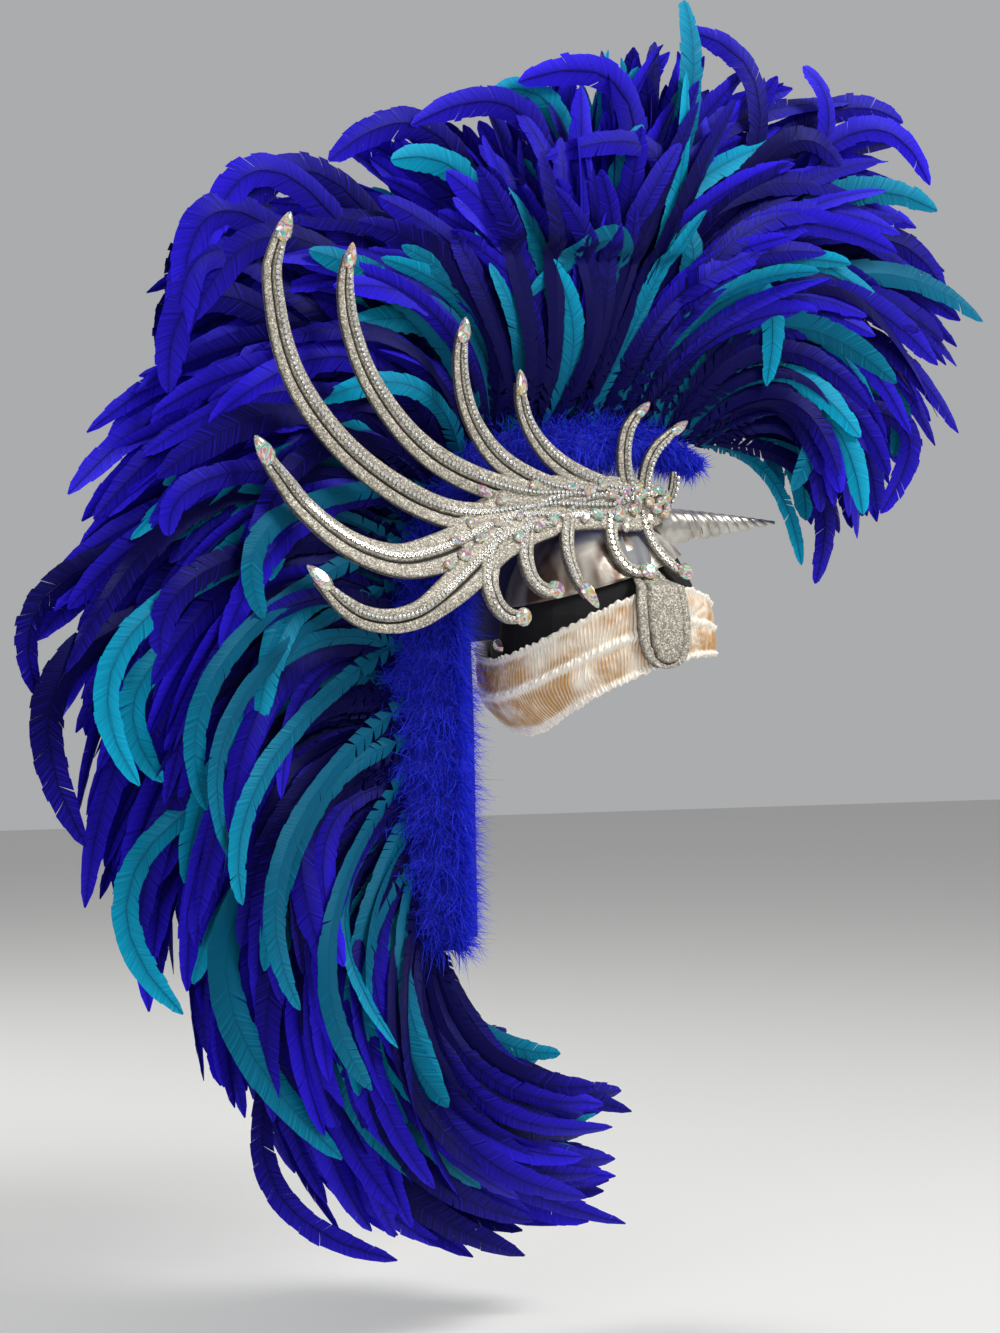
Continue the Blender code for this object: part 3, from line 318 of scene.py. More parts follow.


# Ruched band
# A padded band of cream satin, drawn up by elastic into two rolls between three
# frilled edges. The rolls are tinted amber, partly a golden tint and partly painted
# shade in the gathers, and the frills stay ivory.
BAND_HEIGHT = 0.069
BAND_FRONT_NARROWING = 0.17
BAND_END_NARROWING = 0.22
BAND_THICKNESS = 0.012
BAND_FIT = 0.0014
BAND_MIDDLE = 0.030
BAND_TILT = 0.287
BAND_DIP = 0.296
BAND_TUCK = 0.60
BAND_TUCK_REACH = 0.042
BAND_RIM_DROP = 0.003
RIM_HEIGHT = 0.005
RIM_SLOPE = 0.27
BAND_TURNS = 1400
BAND_ROWS = 46
BAND_PLEATS = 210
PLEAT_DEPTH = 0.0009
# Shares of the thickness: everywhere, more in the rolls, and in the frills
PAD_SHARE = 0.42
ROLL_SHARE = 0.34
FRILL_SHARE = 0.50
FRILL_WIDTH = 0.100
FRILL_WAVES = 71
FRILL_WAVE = 0.0019
FRILL_PUSH = 0.0011
FRILL_PLACES = (0.02, 0.50, 0.98)
# Rows of the flat inside of the band, from its upper edge down
BAND_INSIDE = (0.97, 0.75, 0.58, 0.45, 0.03)
# Amber patches, of golden tint and painted shade, are 29 mm across. Real threads lie 0.1 mm
# apart, and are drawn 1.1 mm apart so that they show.
AMBER_PATCH = 1 / 34
SATIN_THREAD = 1 / 900


def band_centre(forward):
    """Height of the band's middle line at a place along the head."""
    share = forward / (CAP_LENGTH / 2)
    return BAND_MIDDLE + BAND_TILT * forward - BAND_DIP * CAP_LENGTH / 2 * share**2


def band_place(turn, up, out, lift):
    """A place round the band: up its height from 0 to 1, out from the cap and lifted."""
    forward = CAP_LENGTH / 2 * math.cos(turn)
    across = math.cos(turn)
    narrowing = 1.0 - BAND_FRONT_NARROWING * across - BAND_END_NARROWING * across**2
    height = band_centre(forward) + (up - 0.5) * BAND_HEIGHT * narrowing
    below = max(0.0, RIM_HEIGHT + RIM_SLOPE * forward - BAND_RIM_DROP - height)
    tuck = BAND_TUCK * below * (1.0 + below / BAND_TUCK_REACH) * max(0.0, -across)
    share = dome_share(height, CAP_HEIGHT)
    return ((CAP_LENGTH / 2 * share + out) * math.cos(turn) + tuck,
            (CAP_WIDTH / 2 * share + out) * math.sin(turn), height + lift)


points = []
amber_shade = []
for row in range(BAND_ROWS):
    up = row / (BAND_ROWS - 1)
    frill = max(math.exp(-((up - place) / FRILL_WIDTH * 1.9) ** 2) for place in FRILL_PLACES)
    roll = abs(math.sin(2 * math.pi * up)) ** 0.7
    for column in range(BAND_TURNS):
        turn = 2 * math.pi * column / BAND_TURNS
        wander = 2.2 * math.sin(7 * turn + 5 * up) + 1.4 * math.sin(13 * turn - 9 * up)
        pleat = math.sin(BAND_PLEATS * turn + wander + 1.5 * math.sin(6 * up))
        fine = math.sin(2.3 * BAND_PLEATS * turn - 2 * wander)
        wave = 0.6 * math.sin(FRILL_WAVES * turn + 1.7 * wander + 9.0 * up)
        wave += 0.5 * math.sin(41 * turn - 3 * wander + 6.0 * up)
        puff = math.sin(31 * turn + 2 * wander) * math.sin(2 * math.pi * up + 0.8 * wander)
        ruche = PLEAT_DEPTH * ((pleat + 0.35 * fine) * (1 - 0.45 * frill) + 0.9 * puff)
        out = (BAND_FIT + BAND_THICKNESS * (PAD_SHARE + ROLL_SHARE * roll * (1 - frill)
                                         + FRILL_SHARE * frill)
               + ruche + FRILL_PUSH * frill * wave)
        lift = FRILL_WAVE * wave * frill**2
        points.append(band_place(turn, up, max(out, BAND_FIT), lift))
        # Share of amber, partly golden tint and partly painted shade: none on the frills, more where
        # each pleat bulges out
        amber_shade.append(min(max((1 - frill) * (0.86 + 0.22 * pleat), 0.0), 1.0))
for up in BAND_INSIDE:
    for column in range(BAND_TURNS):
        points.append(band_place(2 * math.pi * column / BAND_TURNS, up, BAND_FIT, 0.0))
        amber_shade.append(0.2)
faces = grid_faces(BAND_ROWS + len(BAND_INSIDE), BAND_TURNS, True)
last = (BAND_ROWS + len(BAND_INSIDE) - 1) * BAND_TURNS
for column in range(BAND_TURNS):
    after = (column + 1) % BAND_TURNS
    faces.append((last + column, last + after, after, column))


def mark(item, label, values):
    """Writes a value at each point of a piece, which its material reads by the label."""
    item.data.attributes.new(label, "FLOAT", "POINT").data.foreach_set("value", values)


def marked(material, label):
    """The values that mark wrote."""
    return add_node(material, "ShaderNodeAttribute", {"attribute_name": label}).outputs["Fac"]


def reckon(material, operation, *terms, clamp=False):
    """Reckons with terms that are each a pattern or a plain number."""
    node = add_node(material, "ShaderNodeMath", {"operation": operation, "use_clamp": clamp})
    for i, term in enumerate(terms):
        if isinstance(term, float):
            node.inputs[i].default_value = term
        else:
            material.node_tree.links.new(term, node.inputs[i])
    return node.outputs[0]


# Satin: soft sheen across the gathers, ivory on the crests and amber in the folds, the
# amber partly a golden tint and partly painted shade
cream_satin, shader = new_material("ruched_cream_satin", "#e6cfa4", 0.46,
                                   Sheen_Weight=0.35, Sheen_Roughness=0.4)
patchy = reckon(cream_satin, "MULTIPLY", marked(cream_satin, "amber_shade"),
                noise_over(cream_satin, AMBER_PATCH, 4.0))
amber = reckon(cream_satin, "MULTIPLY_ADD", patchy, 3.6, -1.05, clamp=True)
tint_by(cream_satin, shader, amber, "#f6eee0", "#bd8b4a")
raise_by(cream_satin, shader, noise_over(cream_satin, SATIN_THREAD), 0.25, 0.0004)
ruched_band = add_piece("ruched_satin_band", points, faces, cream_satin,
                        ["ruched_band"])
mark(ruched_band, "amber_shade", amber_shade)


# Horn
# Lengths of cord laid side by side and twisted over a cone, then wrapped in
# silver leaf. The base is left smooth and flares out to meet the cap.
HORN_START = 0.050
HORN_ROOT = 0.006
HORN_LENGTH = 0.142
HORN_AXIS = CAP_HEIGHT - 0.0025
HORN_RISE = math.radians(3)
HORN_BASE_RADIUS = 0.0222
HORN_ROPE_RADIUS = 0.0150
HORN_FLARE = 0.040
HORN_FLARE_CURVE = 1.6
HORN_TAPER = 0.88
HORN_TAPER_CURVE = 1.15
HORN_TURN_LENGTH = 0.034
HORN_LOBES = 3
HORN_LOBE = 0.20
HORN_LOBE_RUN = 0.012
HORN_CRUMPLE = 0.008
HORN_RINGS = 260
HORN_SIDES = 60
# Creases in the leaf are 8 mm apart, and its stains 18 mm across
FOIL_CREASE = 1 / 130
FOIL_STAIN = 1 / 55


def horn_radius(distance):
    """Smooth flared base, then a rope that tapers to the tip."""
    if distance < HORN_FLARE:
        share = 1.0 - distance / HORN_FLARE
        return HORN_ROPE_RADIUS + (HORN_BASE_RADIUS - HORN_ROPE_RADIUS) * share**HORN_FLARE_CURVE
    share = (distance - HORN_FLARE) / (HORN_LENGTH - HORN_FLARE)
    return HORN_ROPE_RADIUS * (1.0 - HORN_TAPER * share**HORN_TAPER_CURVE)


points = []
for ring in range(HORN_RINGS):
    distance = HORN_ROOT + (HORN_LENGTH - HORN_ROOT) * ring / (HORN_RINGS - 1)
    past = max(distance - HORN_FLARE * 0.85, 0.0)
    depth = HORN_LOBE * min(past / HORN_LOBE_RUN, 1.0)
    radius = horn_radius(distance)
    twist = 2 * math.pi * past / HORN_TURN_LENGTH
    if ring == HORN_RINGS - 1:
        radius /= 4
    for side in range(HORN_SIDES):
        turn = 2 * math.pi * side / HORN_SIDES
        crease = abs(math.sin(HORN_LOBES * turn / 2)) ** 0.75
        crumple = (math.sin(11 * turn + 300 * distance) + math.sin(5 * turn - 520 * distance))
        lobe = 1.0 - depth * (1.0 - crease) + HORN_CRUMPLE * crumple
        across = radius * lobe * math.cos(turn + twist)
        up = radius * lobe * math.sin(turn + twist)
        points.append((HORN_START + distance * math.cos(HORN_RISE) - up * math.sin(HORN_RISE),
                       across,
                       HORN_AXIS + distance * math.sin(HORN_RISE) + up * math.cos(HORN_RISE)))
faces = grid_faces(HORN_RINGS, HORN_SIDES, True)
faces.append(tuple((HORN_RINGS - 1) * HORN_SIDES + side for side in range(HORN_SIDES)))
faces.append(tuple(reversed(range(HORN_SIDES))))
# Silver leaf: bright metal with fine creases, warm in the hollows
silver_leaf, shader = new_material("creased_silver_leaf", "#c9c4bb", 0.34, 0.85)
creases = noise_over(silver_leaf, FOIL_CREASE, 4.0, noise_type="RIDGED_MULTIFRACTAL")
raise_by(silver_leaf, shader, creases, 0.55, 0.0012)
tint_by(silver_leaf, shader, noise_over(silver_leaf, FOIL_STAIN, 3.0), "#8d8578", "#efece6")
add_piece("twisted_silver_horn", points, faces, silver_leaf, ["horn"])


# Ridge frame
# A plate of buckram covered in dark blue cloth, under the feathers. It carries the
# marabou over the crown and down the back, and keeps its solid.

# Real threads lie 0.5 mm apart, and are drawn 1.4 mm apart so that they show
BUCKRAM_THREAD = 1 / 700

# Cotton over buckram: dull navy with a coarse thread
buckram, shader = new_material("blue_covered_buckram", "#0d0d3a", 0.8)
threads = noise_over(buckram, BUCKRAM_THREAD)
raise_by(buckram, shader, threads, 0.4, 0.0005)
tint_by(buckram, shader, threads, "#08082a", "#17175a")
dress_node("ridge_frame", buckram)


# Wings
# A pair of arms and body cut from stiff foam and covered in dense silver glitter,
# in two layers with a groove between them, bent to lie over the cap.
WING_SPAN = 0.400
WING_THICKNESS = 0.005
WING_HUB_HEIGHT = CAP_HEIGHT + 0.0145
WING_FOLD_HEIGHT = CAP_HEIGHT + 0.0045
WING_SEAT_HEIGHT = CAP_HEIGHT * 0.677
WING_SEAT_GAP = 0.0001
WING_FOLD_SLOPE = 0.48
WING_FOLD_DEPTH = 0.075
WING_FLARE_FROM = -0.060
WING_FLARE = 0.10
WING_STATIONS = 44
# Ribs lie on the body at levels a little apart, so that no two share a surface
RIB_LEVELS = 6
RIB_STEP = 0.00018
# Arms in side view, from tip to root: forward, up and width as shares of WING_SPAN
WING_ARMS = {
    "a1": ((-0.855, 0.520, 0.024), (-0.872, 0.475, 0.034), (-0.882, 0.430, 0.040),
           (-0.875, 0.365, 0.044), (-0.858, 0.290, 0.048), (-0.825, 0.215, 0.052),
           (-0.768, 0.140, 0.055), (-0.690, 0.070, 0.057), (-0.590, 0.010, 0.060),
           (-0.485, -0.032, 0.062), (-0.390, -0.042, 0.062), (-0.280, -0.025, 0.060)),
    "a2": ((-0.703, 0.475, 0.022), (-0.710, 0.435, 0.032), (-0.710, 0.390, 0.038),
           (-0.697, 0.325, 0.042), (-0.663, 0.245, 0.046), (-0.608, 0.170, 0.050),
           (-0.538, 0.105, 0.054), (-0.455, 0.058, 0.058), (-0.355, 0.026, 0.058),
           (-0.250, 0.010, 0.056)),
    "a3": ((-0.425, 0.345, 0.020), (-0.430, 0.305, 0.030), (-0.430, 0.260, 0.034),
           (-0.418, 0.200, 0.038), (-0.390, 0.143, 0.042), (-0.342, 0.090, 0.048),
           (-0.278, 0.053, 0.050), (-0.190, 0.025, 0.050)),
    "a4": ((-0.280, 0.245, 0.020), (-0.275, 0.205, 0.028), (-0.260, 0.163, 0.032),
           (-0.230, 0.122, 0.038), (-0.185, 0.085, 0.044), (-0.125, 0.055, 0.046),
           (-0.050, 0.030, 0.046)),
    "a5": ((0.035, 0.205, 0.016), (0.015, 0.185, 0.024), (-0.002, 0.155, 0.030),
           (-0.010, 0.115, 0.032), (-0.008, 0.070, 0.034), (0.005, 0.020, 0.034)),
    "a6": ((0.130, 0.170, 0.016), (0.100, 0.148, 0.022), (0.072, 0.122, 0.026),
           (0.052, 0.088, 0.028), (0.042, 0.050, 0.028), (0.038, 0.010, 0.028)),
    "a7": ((0.118, 0.072, 0.010), (0.115, 0.035, 0.016), (0.100, 0.000, 0.018)),
    "b1": ((-0.905, 0.075, 0.024), (-0.882, 0.045, 0.032), (-0.852, 0.012, 0.040),
           (-0.812, -0.035, 0.048), (-0.762, -0.082, 0.054), (-0.698, -0.120, 0.060),
           (-0.612, -0.140, 0.068), (-0.522, -0.125, 0.078), (-0.425, -0.092, 0.080),
           (-0.320, -0.050, 0.070)),
    "b2": ((-0.815, -0.180, 0.022), (-0.795, -0.205, 0.028), (-0.765, -0.230, 0.038),
           (-0.715, -0.255, 0.046), (-0.650, -0.262, 0.050), (-0.585, -0.248, 0.056),
           (-0.522, -0.212, 0.064), (-0.450, -0.165, 0.070), (-0.355, -0.100, 0.070)),
    "c1": ((-0.330, -0.250, 0.026), (-0.365, -0.247, 0.034), (-0.395, -0.222, 0.038),
           (-0.403, -0.185, 0.042), (-0.390, -0.145, 0.044), (-0.360, -0.095, 0.044)),
    "c2": ((-0.240, -0.195, 0.026), (-0.268, -0.192, 0.030), (-0.290, -0.170, 0.034),
           (-0.294, -0.130, 0.036), (-0.280, -0.085, 0.036), (-0.248, -0.035, 0.036)),
    "c3": ((-0.155, -0.205, 0.020), (-0.172, -0.172, 0.026), (-0.180, -0.130, 0.030),
           (-0.174, -0.085, 0.032), (-0.150, -0.030, 0.032)),
    "c4": ((0.010, -0.150, 0.024), (-0.030, -0.145, 0.028), (-0.053, -0.115, 0.030),
           (-0.056, -0.075, 0.030), (-0.042, -0.030, 0.030)),
    "c5": ((0.105, -0.150, 0.022), (0.080, -0.135, 0.024), (0.056, -0.105, 0.026),
           (0.042, -0.070, 0.026), (0.040, -0.020, 0.028)),
}
WING_BODY = (
    (0.105, 0.005, 0.060), (0.030, -0.003, 0.110), (-0.075, 0.000, 0.115),
    (-0.175, -0.005, 0.120), (-0.280, -0.030, 0.125), (-0.385, -0.070, 0.110),
    (-0.450, -0.110, 0.070),
)
# Section of an arm: place across as a share of its width, height over its middle in mm
# and how much glue and shadow darken it there
ARM_SECTION = ((-0.500, -2.3, 0.4), (-0.505, 0.2, 0.9), (-0.498, 1.1, 0.3), (-0.450, 1.8, 0.0),
               (-0.300, 2.1, 0.0), (-0.160, 2.1, 0.0), (-0.118, 1.6, 0.5), (-0.105, 0.2, 1.0),
               (-0.050, 0.2, 1.0), (-0.036, 2.0, 0.5), (-0.010, 2.9, 0.0), (0.150, 3.1, 0.0),
               (0.340, 3.1, 0.0), (0.440, 2.8, 0.0), (0.496, 1.7, 0.2), (0.505, 0.3, 0.7),
               (0.500, -2.3, 0.4))
BODY_SECTION = ((-0.500, -2.4, 0.6), (-0.505, 0.6, 0.3), (-0.480, 1.6, 0.1), (-0.420, 2.0, 0.0),
                (-0.150, 2.0, 0.0), (0.150, 2.0, 0.0), (0.420, 2.0, 0.0), (0.480, 1.6, 0.1),
                (0.505, 0.6, 0.3), (0.500, -2.4, 0.6))
# Each arm runs on along the body as a narrowing rib: forward, up and width
ARM_RIBS = {
    "a1": ((-0.190, -0.012, 0.052), (-0.110, -0.012, 0.040), (-0.040, -0.010, 0.026)),
    "a2": ((-0.170, 0.012, 0.048), (-0.090, 0.010, 0.038), (-0.010, 0.004, 0.024)),
    "a3": ((-0.110, 0.024, 0.042), (-0.040, 0.020, 0.034), (0.030, 0.010, 0.022)),
    "a4": ((0.000, 0.026, 0.034), (0.050, 0.016, 0.022)),
    "b1": ((-0.230, -0.040, 0.060), (-0.150, -0.040, 0.048), (-0.070, -0.032, 0.034),
           (0.000, -0.022, 0.022)),
    "b2": ((-0.270, -0.070, 0.056), (-0.200, -0.058, 0.036)),
    "c1": ((-0.310, -0.050, 0.040), (-0.250, -0.022, 0.030)),
    "c2": ((-0.200, -0.004, 0.032), (-0.150, 0.008, 0.024)),
    "c3": ((-0.110, 0.000, 0.028), (-0.060, 0.012, 0.022)),
    "c4": ((-0.010, -0.002, 0.026), (0.030, 0.010, 0.020)),
}


def rounded_step(value, reach=0.006):
    """The value where it is positive, else 0, with the corner rounded off."""
    if value > reach:
        return value
    if value < -reach:
        return 0.0
    return (value + reach) ** 2 / (4 * reach)


def wing_surface(forward, height):
    """Distance of the wing's middle surface from the middle plane."""
    side = CAP_WIDTH / 2 + SILVER_GROW
    seat = side * dome_share(WING_SEAT_HEIGHT, CAP_HEIGHT + SILVER_GROW)
    upright = (seat + WING_SEAT_GAP + WING_THICKNESS / 2
               - WING_FOLD_SLOPE * (WING_FOLD_HEIGHT - WING_SEAT_HEIGHT))
    fold = rounded_step(WING_FOLD_HEIGHT - height)
    fold -= rounded_step(WING_FOLD_HEIGHT - WING_FOLD_DEPTH - height)
    return (upright + WING_FOLD_SLOPE * fold
            + WING_FLARE * rounded_step(WING_FLARE_FROM - forward))


def wing_place(forward_share, up_share):
    """A place in the wing's side view, forward and up, from shares of its span."""
    return Vector((forward_share * WING_SPAN, WING_HUB_HEIGHT + up_share * WING_SPAN))


def on_wing(place, lift):
    """A flat place on the wearer's right wing, lifted off its middle surface."""
    reach = 0.004
    slope_x = (wing_surface(place.x + reach, place.y)
               - wing_surface(place.x - reach, place.y)) / (2 * reach)
    slope_z = (wing_surface(place.x, place.y + reach)
               - wing_surface(place.x, place.y - reach)) / (2 * reach)
    outward = Vector((-slope_x, -1.0, -slope_z)).normalized()
    middle = Vector((place.x, -wing_surface(place.x, place.y), place.y))
    return middle + outward * lift, outward


def smooth_path(points, count):
    """Even points along a smooth curve through the given points."""
    fine = []
    last = len(points) - 1
    for i in range(last):
        before, start = points[max(i - 1, 0)], points[i]
        end, after = points[i + 1], points[min(i + 2, last)]
        for step in range(12):
            t = step / 12
            fine.append(start * (2 * t**3 - 3 * t**2 + 1) + (end - before) / 2 * (t**3 - 2 * t**2 + t)
                        + end * (3 * t**2 - 2 * t**3) + (after - start) / 2 * (t**3 - t**2))
    fine.append(points[-1])
    lengths = [0.0]
    for start, end in zip(fine, fine[1:]):
        lengths.append(lengths[-1] + (end - start).length)
    path = []
    i = 0
    for step in range(count):
        distance = lengths[-1] * step / (count - 1)
        while i < len(fine) - 2 and lengths[i + 1] < distance:
            i += 1
        span = max(lengths[i + 1] - lengths[i], 1e-9)
        path.append(fine[i].lerp(fine[i + 1], min((distance - lengths[i]) / span, 1.0)))
    return path


def swept_strip(rows, section, lift, points, faces, darks):
    """Adds a strip along a smooth line of (forward, up, width) rows."""
    path = smooth_path([Vector((*wing_place(x, z), width * WING_SPAN)) for x, z, width in rows],
                       WING_STATIONS)
    first = len(points)
    for i, point in enumerate(path):
        along = path[min(i + 1, len(path) - 1)] - path[max(i - 1, 0)]
        side = Vector((-along.y, along.x)).normalized()
        width = point.z
        for across, height, dark in section:
            place = Vector((point.x, point.y)) + side * (across * width)
            spot, _ = on_wing(place, height / 1000 + (lift if height > 0 else 0.0))
            points.append(spot)
            darks.append(dark)
    count = len(section)
    for i in range(len(path) - 1):
        for j in range(count - 1):
            a = first + i * count + j
            faces.append((a, a + count, a + count + 1, a + 1))
        a = first + i * count
        faces.append((a, a + count - 1, a + 2 * count - 1, a + count))
    faces.append(tuple(first + j for j in range(count)))
    faces.append(tuple(first + (len(path) - 1) * count + j for j in reversed(range(count))))


def add_pair(name, points, faces, material, nodes=(), smooth=True):
    """A piece on the wearer's right and its mirror image on the left."""
    right = add_piece(name + "_right", points, faces, material,
                      [node + "_right" for node in nodes], smooth)
    left = add_piece(name + "_left", [(x, -y, z) for x, y, z in points],
                     [tuple(reversed(face)) for face in faces], material,
                     [node + "_left" for node in nodes], smooth)
    return right, left


# Dense glitter on foam: grains of foil at all angles, silver with a little champagne.
# Each grain is painted from dark grey to near white, as painted glints and shade.
# Real grains are 0.4 mm, and are drawn at 1 mm so that they show.
GLITTER_GRAIN = 0.0010
glitter_foam, shader = new_material("silver_glitter_foam", "#9b9486", 0.62, 0.25)
grains = add_node(glitter_foam, "ShaderNodeTexVoronoi", None, {"Scale": 1.0 / GLITTER_GRAIN},
                  {"Vector": place_on(glitter_foam)})
grain_mix = add_node(glitter_foam, "ShaderNodeSeparateColor", None, None,
                     {0: grains.outputs["Color"]})
# Painted glints and shade: each grain's colour stands for the light it catches at its angle
glitter = ramp_colours(glitter_foam, grain_mix.outputs[0],
                       ((0.0, "#756f63"), (0.30, "#8c867a"), (0.62, "#b0a99b"),
                        (0.88, "#d4ccbc"), (1.0, "#f6f0e2")))
# Glue and shadow in the grooves and on the cut edges
grooved = add_node(glitter_foam, "ShaderNodeMix", {"data_type": "RGBA"},
                   {7: linear("#1d1b18")}, {0: marked(glitter_foam, "dark"), 6: glitter})
feed(glitter_foam, grooved.outputs[2], shader, "Base Color")
raise_by(glitter_foam, shader, grain_mix.outputs[1], 0.8, 0.0005)

points, faces, darks = [], [], []
swept_strip(WING_BODY, BODY_SECTION, 0.0, points, faces, darks)
for i, (name, rows) in enumerate(WING_ARMS.items()):
    swept_strip(rows + ARM_RIBS.get(name, ()), ARM_SECTION, RIB_STEP * (i % RIB_LEVELS),
                points, faces, darks)
for wing in add_pair("glitter_wing", points, faces, glitter_foam, ["wing"]):
    mark(wing, "dark", darks)


# Wing chains
# Rhinestone cup chain glued down every arm and along the body: small clear cut
# stones in silver claw cups, one against the next.
CHAIN_PITCH = 0.0043
CUP_SIDES = 6
CUP_RADIUS = 0.0021
CUP_HEIGHT = 0.0013
CUP_STONE_RADIUS = CUP_RADIUS * 0.86
CUP_STONE_HEIGHT = 0.0012
CUP_STONE_SINK = 0.0003
ARM_TOP = 0.0034
CHAIN_SIDE = 0.0028
CHAIN_END_GAP = 0.0035
# Distance over which the painted glints on the chain's stones change: 3.3 mm
CHAIN_SPARK = 1 / 300
# Tip stones: half length and half width as shares of WING_SPAN, and their point
TIP_STONES = {
    "a1": (0.0320, 0.0170, 0.45), "a2": (0.0280, 0.0130, 0.45), "a3": (0.0280, 0.0150, 0.45),
    "a4": (0.0280, 0.0130, 0.45), "a5": (0.0230, 0.0110, 0.45), "a6": (0.0250, 0.0110, 0.45),
    "b1": (0.0340, 0.0180, 0.45), "b2": (0.0340, 0.0170, 0.45), "c1": (0.0200, 0.0200, 0.00),
    "c2": (0.0210, 0.0210, 0.00), "c3": (0.0330, 0.0150, 0.40), "c4": (0.0200, 0.0200, 0.00),
    "c5": (0.0200, 0.0200, 0.00),
}


def cut_stone(centre, outward, along, half_length, half_width, point, height, sides,
              points, faces):
    """Adds a flat-backed stone with a girdle, two rows of crown facets and a table."""
    along = (along - outward * along.dot(outward)).normalized()
    across = outward.cross(along)
    first = len(points)
    rings = ((1.00, 0.00, 0.0), (1.00, 0.18, 0.0), (0.80, 0.68, 0.5), (0.52, 1.00, 0.0))
    for size, level, offset in rings:
        for side in range(sides):
            turn = 2 * math.pi * (side + offset) / sides
            x = math.cos(turn) * size
            y = math.sin(turn) * size * (1 - point * math.cos(turn) * size)
            points.append(centre + along * (x * half_length) + across * (y * half_width)
                          + outward * (level * height))
    for side in range(sides):
        after = (side + 1) % sides
        base = [first + k * sides for k in range(4)]
        faces.append((base[0] + side, base[0] + after, base[1] + after, base[1] + side))
        faces.append((base[1] + side, base[1] + after, base[2] + side))
        faces.append((base[2] + side, base[1] + after, base[2] + after))
        faces.append((base[2] + side, base[2] + after, base[3] + after))
        faces.append((base[2] + side, base[3] + after, base[3] + side))
    faces.append(tuple(first + 3 * sides + side for side in range(sides)))
    faces.append(tuple(first + side for side in reversed(range(sides))))


def small_cup(centre, outward, along, points, faces):
    """Adds a hexagonal claw cup."""
    along = (along - outward * along.dot(outward)).normalized()
    across = outward.cross(along)
    first = len(points)
    for size, level in ((0.92, -0.0006), (1.0, CUP_HEIGHT), (0.80, CUP_HEIGHT)):
        for side in range(CUP_SIDES):
            turn = 2 * math.pi * side / CUP_SIDES
            points.append(centre + (along * math.cos(turn) + across * math.sin(turn))
                          * (CUP_RADIUS * size) + outward * level)
    faces += [tuple(first + i for i in face) for face in grid_faces(3, CUP_SIDES, True)]
    faces.append(tuple(first + 2 * CUP_SIDES + side for side in range(CUP_SIDES)))
    faces.append(tuple(first + side for side in reversed(range(CUP_SIDES))))


cup_points, cup_faces, bead_points, bead_faces = [], [], [], []
for name, rows in WING_ARMS.items():
    line = [wing_place(x, z) for x, z, _ in rows + ARM_RIBS.get(name, ())]
    length = sum((b - a).length for a, b in zip(line, line[1:]))
    count = max(2, round(length / CHAIN_PITCH))
    path = smooth_path(line, count)
    skip = CHAIN_END_GAP + (TIP_STONES[name][0] * WING_SPAN if name in TIP_STONES else 0.0)
    for i, place in enumerate(path):
        if i * CHAIN_PITCH < skip:
            continue
        flat = path[min(i + 1, count - 1)] - path[max(i - 1, 0)]
        side = Vector((-flat.y, flat.x)).normalized()
        spot, outward = on_wing(place + side * CHAIN_SIDE, ARM_TOP)
        along = Vector((flat.x, 0.0, flat.y))
        small_cup(spot, outward, along, cup_points, cup_faces)
        cut_stone(spot + outward * (CUP_HEIGHT - CUP_STONE_SINK), outward, along,
                  CUP_STONE_RADIUS, CUP_STONE_RADIUS, 0.0, CUP_STONE_HEIGHT, CUP_SIDES,
                  bead_points, bead_faces)
# Claw cups: bright plated brass
plated_cups, _ = new_material("silver_plated_cups", "#cfccc4", 0.22, 1.0)
# Clear cut glass over foil: painted glints and reflections, white and grey with a little colour, that
# change from facet to facet
clear_glass, shader = new_material("foiled_clear_glass", "#eef0ef", 0.06, 0.55,
                                   Coat_Weight=1.0, Coat_Roughness=0.03)


def facet_colours(material, shader, colours, size, spread):
    """Colours that change from facet to facet, from the facet's own direction."""
    geometry = add_node(material, "ShaderNodeNewGeometry")
    turned = add_node(material, "ShaderNodeVectorMath", {"operation": "DOT_PRODUCT"},
                      {1: (2.3 * spread, 1.7 * spread, 2.9 * spread)},
                      {0: geometry.outputs["True Normal"]})
    total = reckon(material, "MULTIPLY_ADD", noise_over(material, size, 1.0), 3.0,
                   turned.outputs["Value"])
    last = len(colours) - 1
    ramp = ramp_colours(material, reckon(material, "FRACT", total),
                        [(i / last, colour) for i, colour in enumerate(colours)])
    feed(material, ramp, shader, "Base Color")


facet_colours(clear_glass, shader, ("#ffffff", "#c9ccd0", "#f6ecd8", "#8f9499", "#e8f1f2",
                                    "#ffffff"), CHAIN_SPARK, 1.0)
add_pair("chain_cups", cup_points, cup_faces, plated_cups, (), False)
add_pair("chain_stones", bead_points, bead_faces, clear_glass,
         ["wing_chain"], False)


# Crystals
# Flat-backed cut crystals with a rainbow coat: pointed drops at the arm tips,
# rounds on the lower arms, and a scatter of small ones over the body.
STONE_HEIGHT = 0.0045
STONE_SIDES = 12
TIP_STONE_LIFT = WING_THICKNESS / 2 + 0.0003
BODY_STONE_LIFT = WING_THICKNESS / 2 + 0.0012
# Large stones: forward, up, half length and half width as shares of WING_SPAN, their
# point and their turn
BODY_STONES = {
    "drop": (-0.030, -0.024, 0.0200, 0.0150, 0.45, math.radians(100)),
    "front": (0.068, -0.010, 0.0130, 0.0130, 0.0, 0.0),
    "middle": (-0.204, -0.045, 0.0150, 0.0150, 0.0, 0.0),
    "rear": (-0.305, -0.085, 0.0140, 0.0140, 0.0, 0.0),
    "end": (-0.455, -0.128, 0.0150, 0.0150, 0.0, 0.0),
}
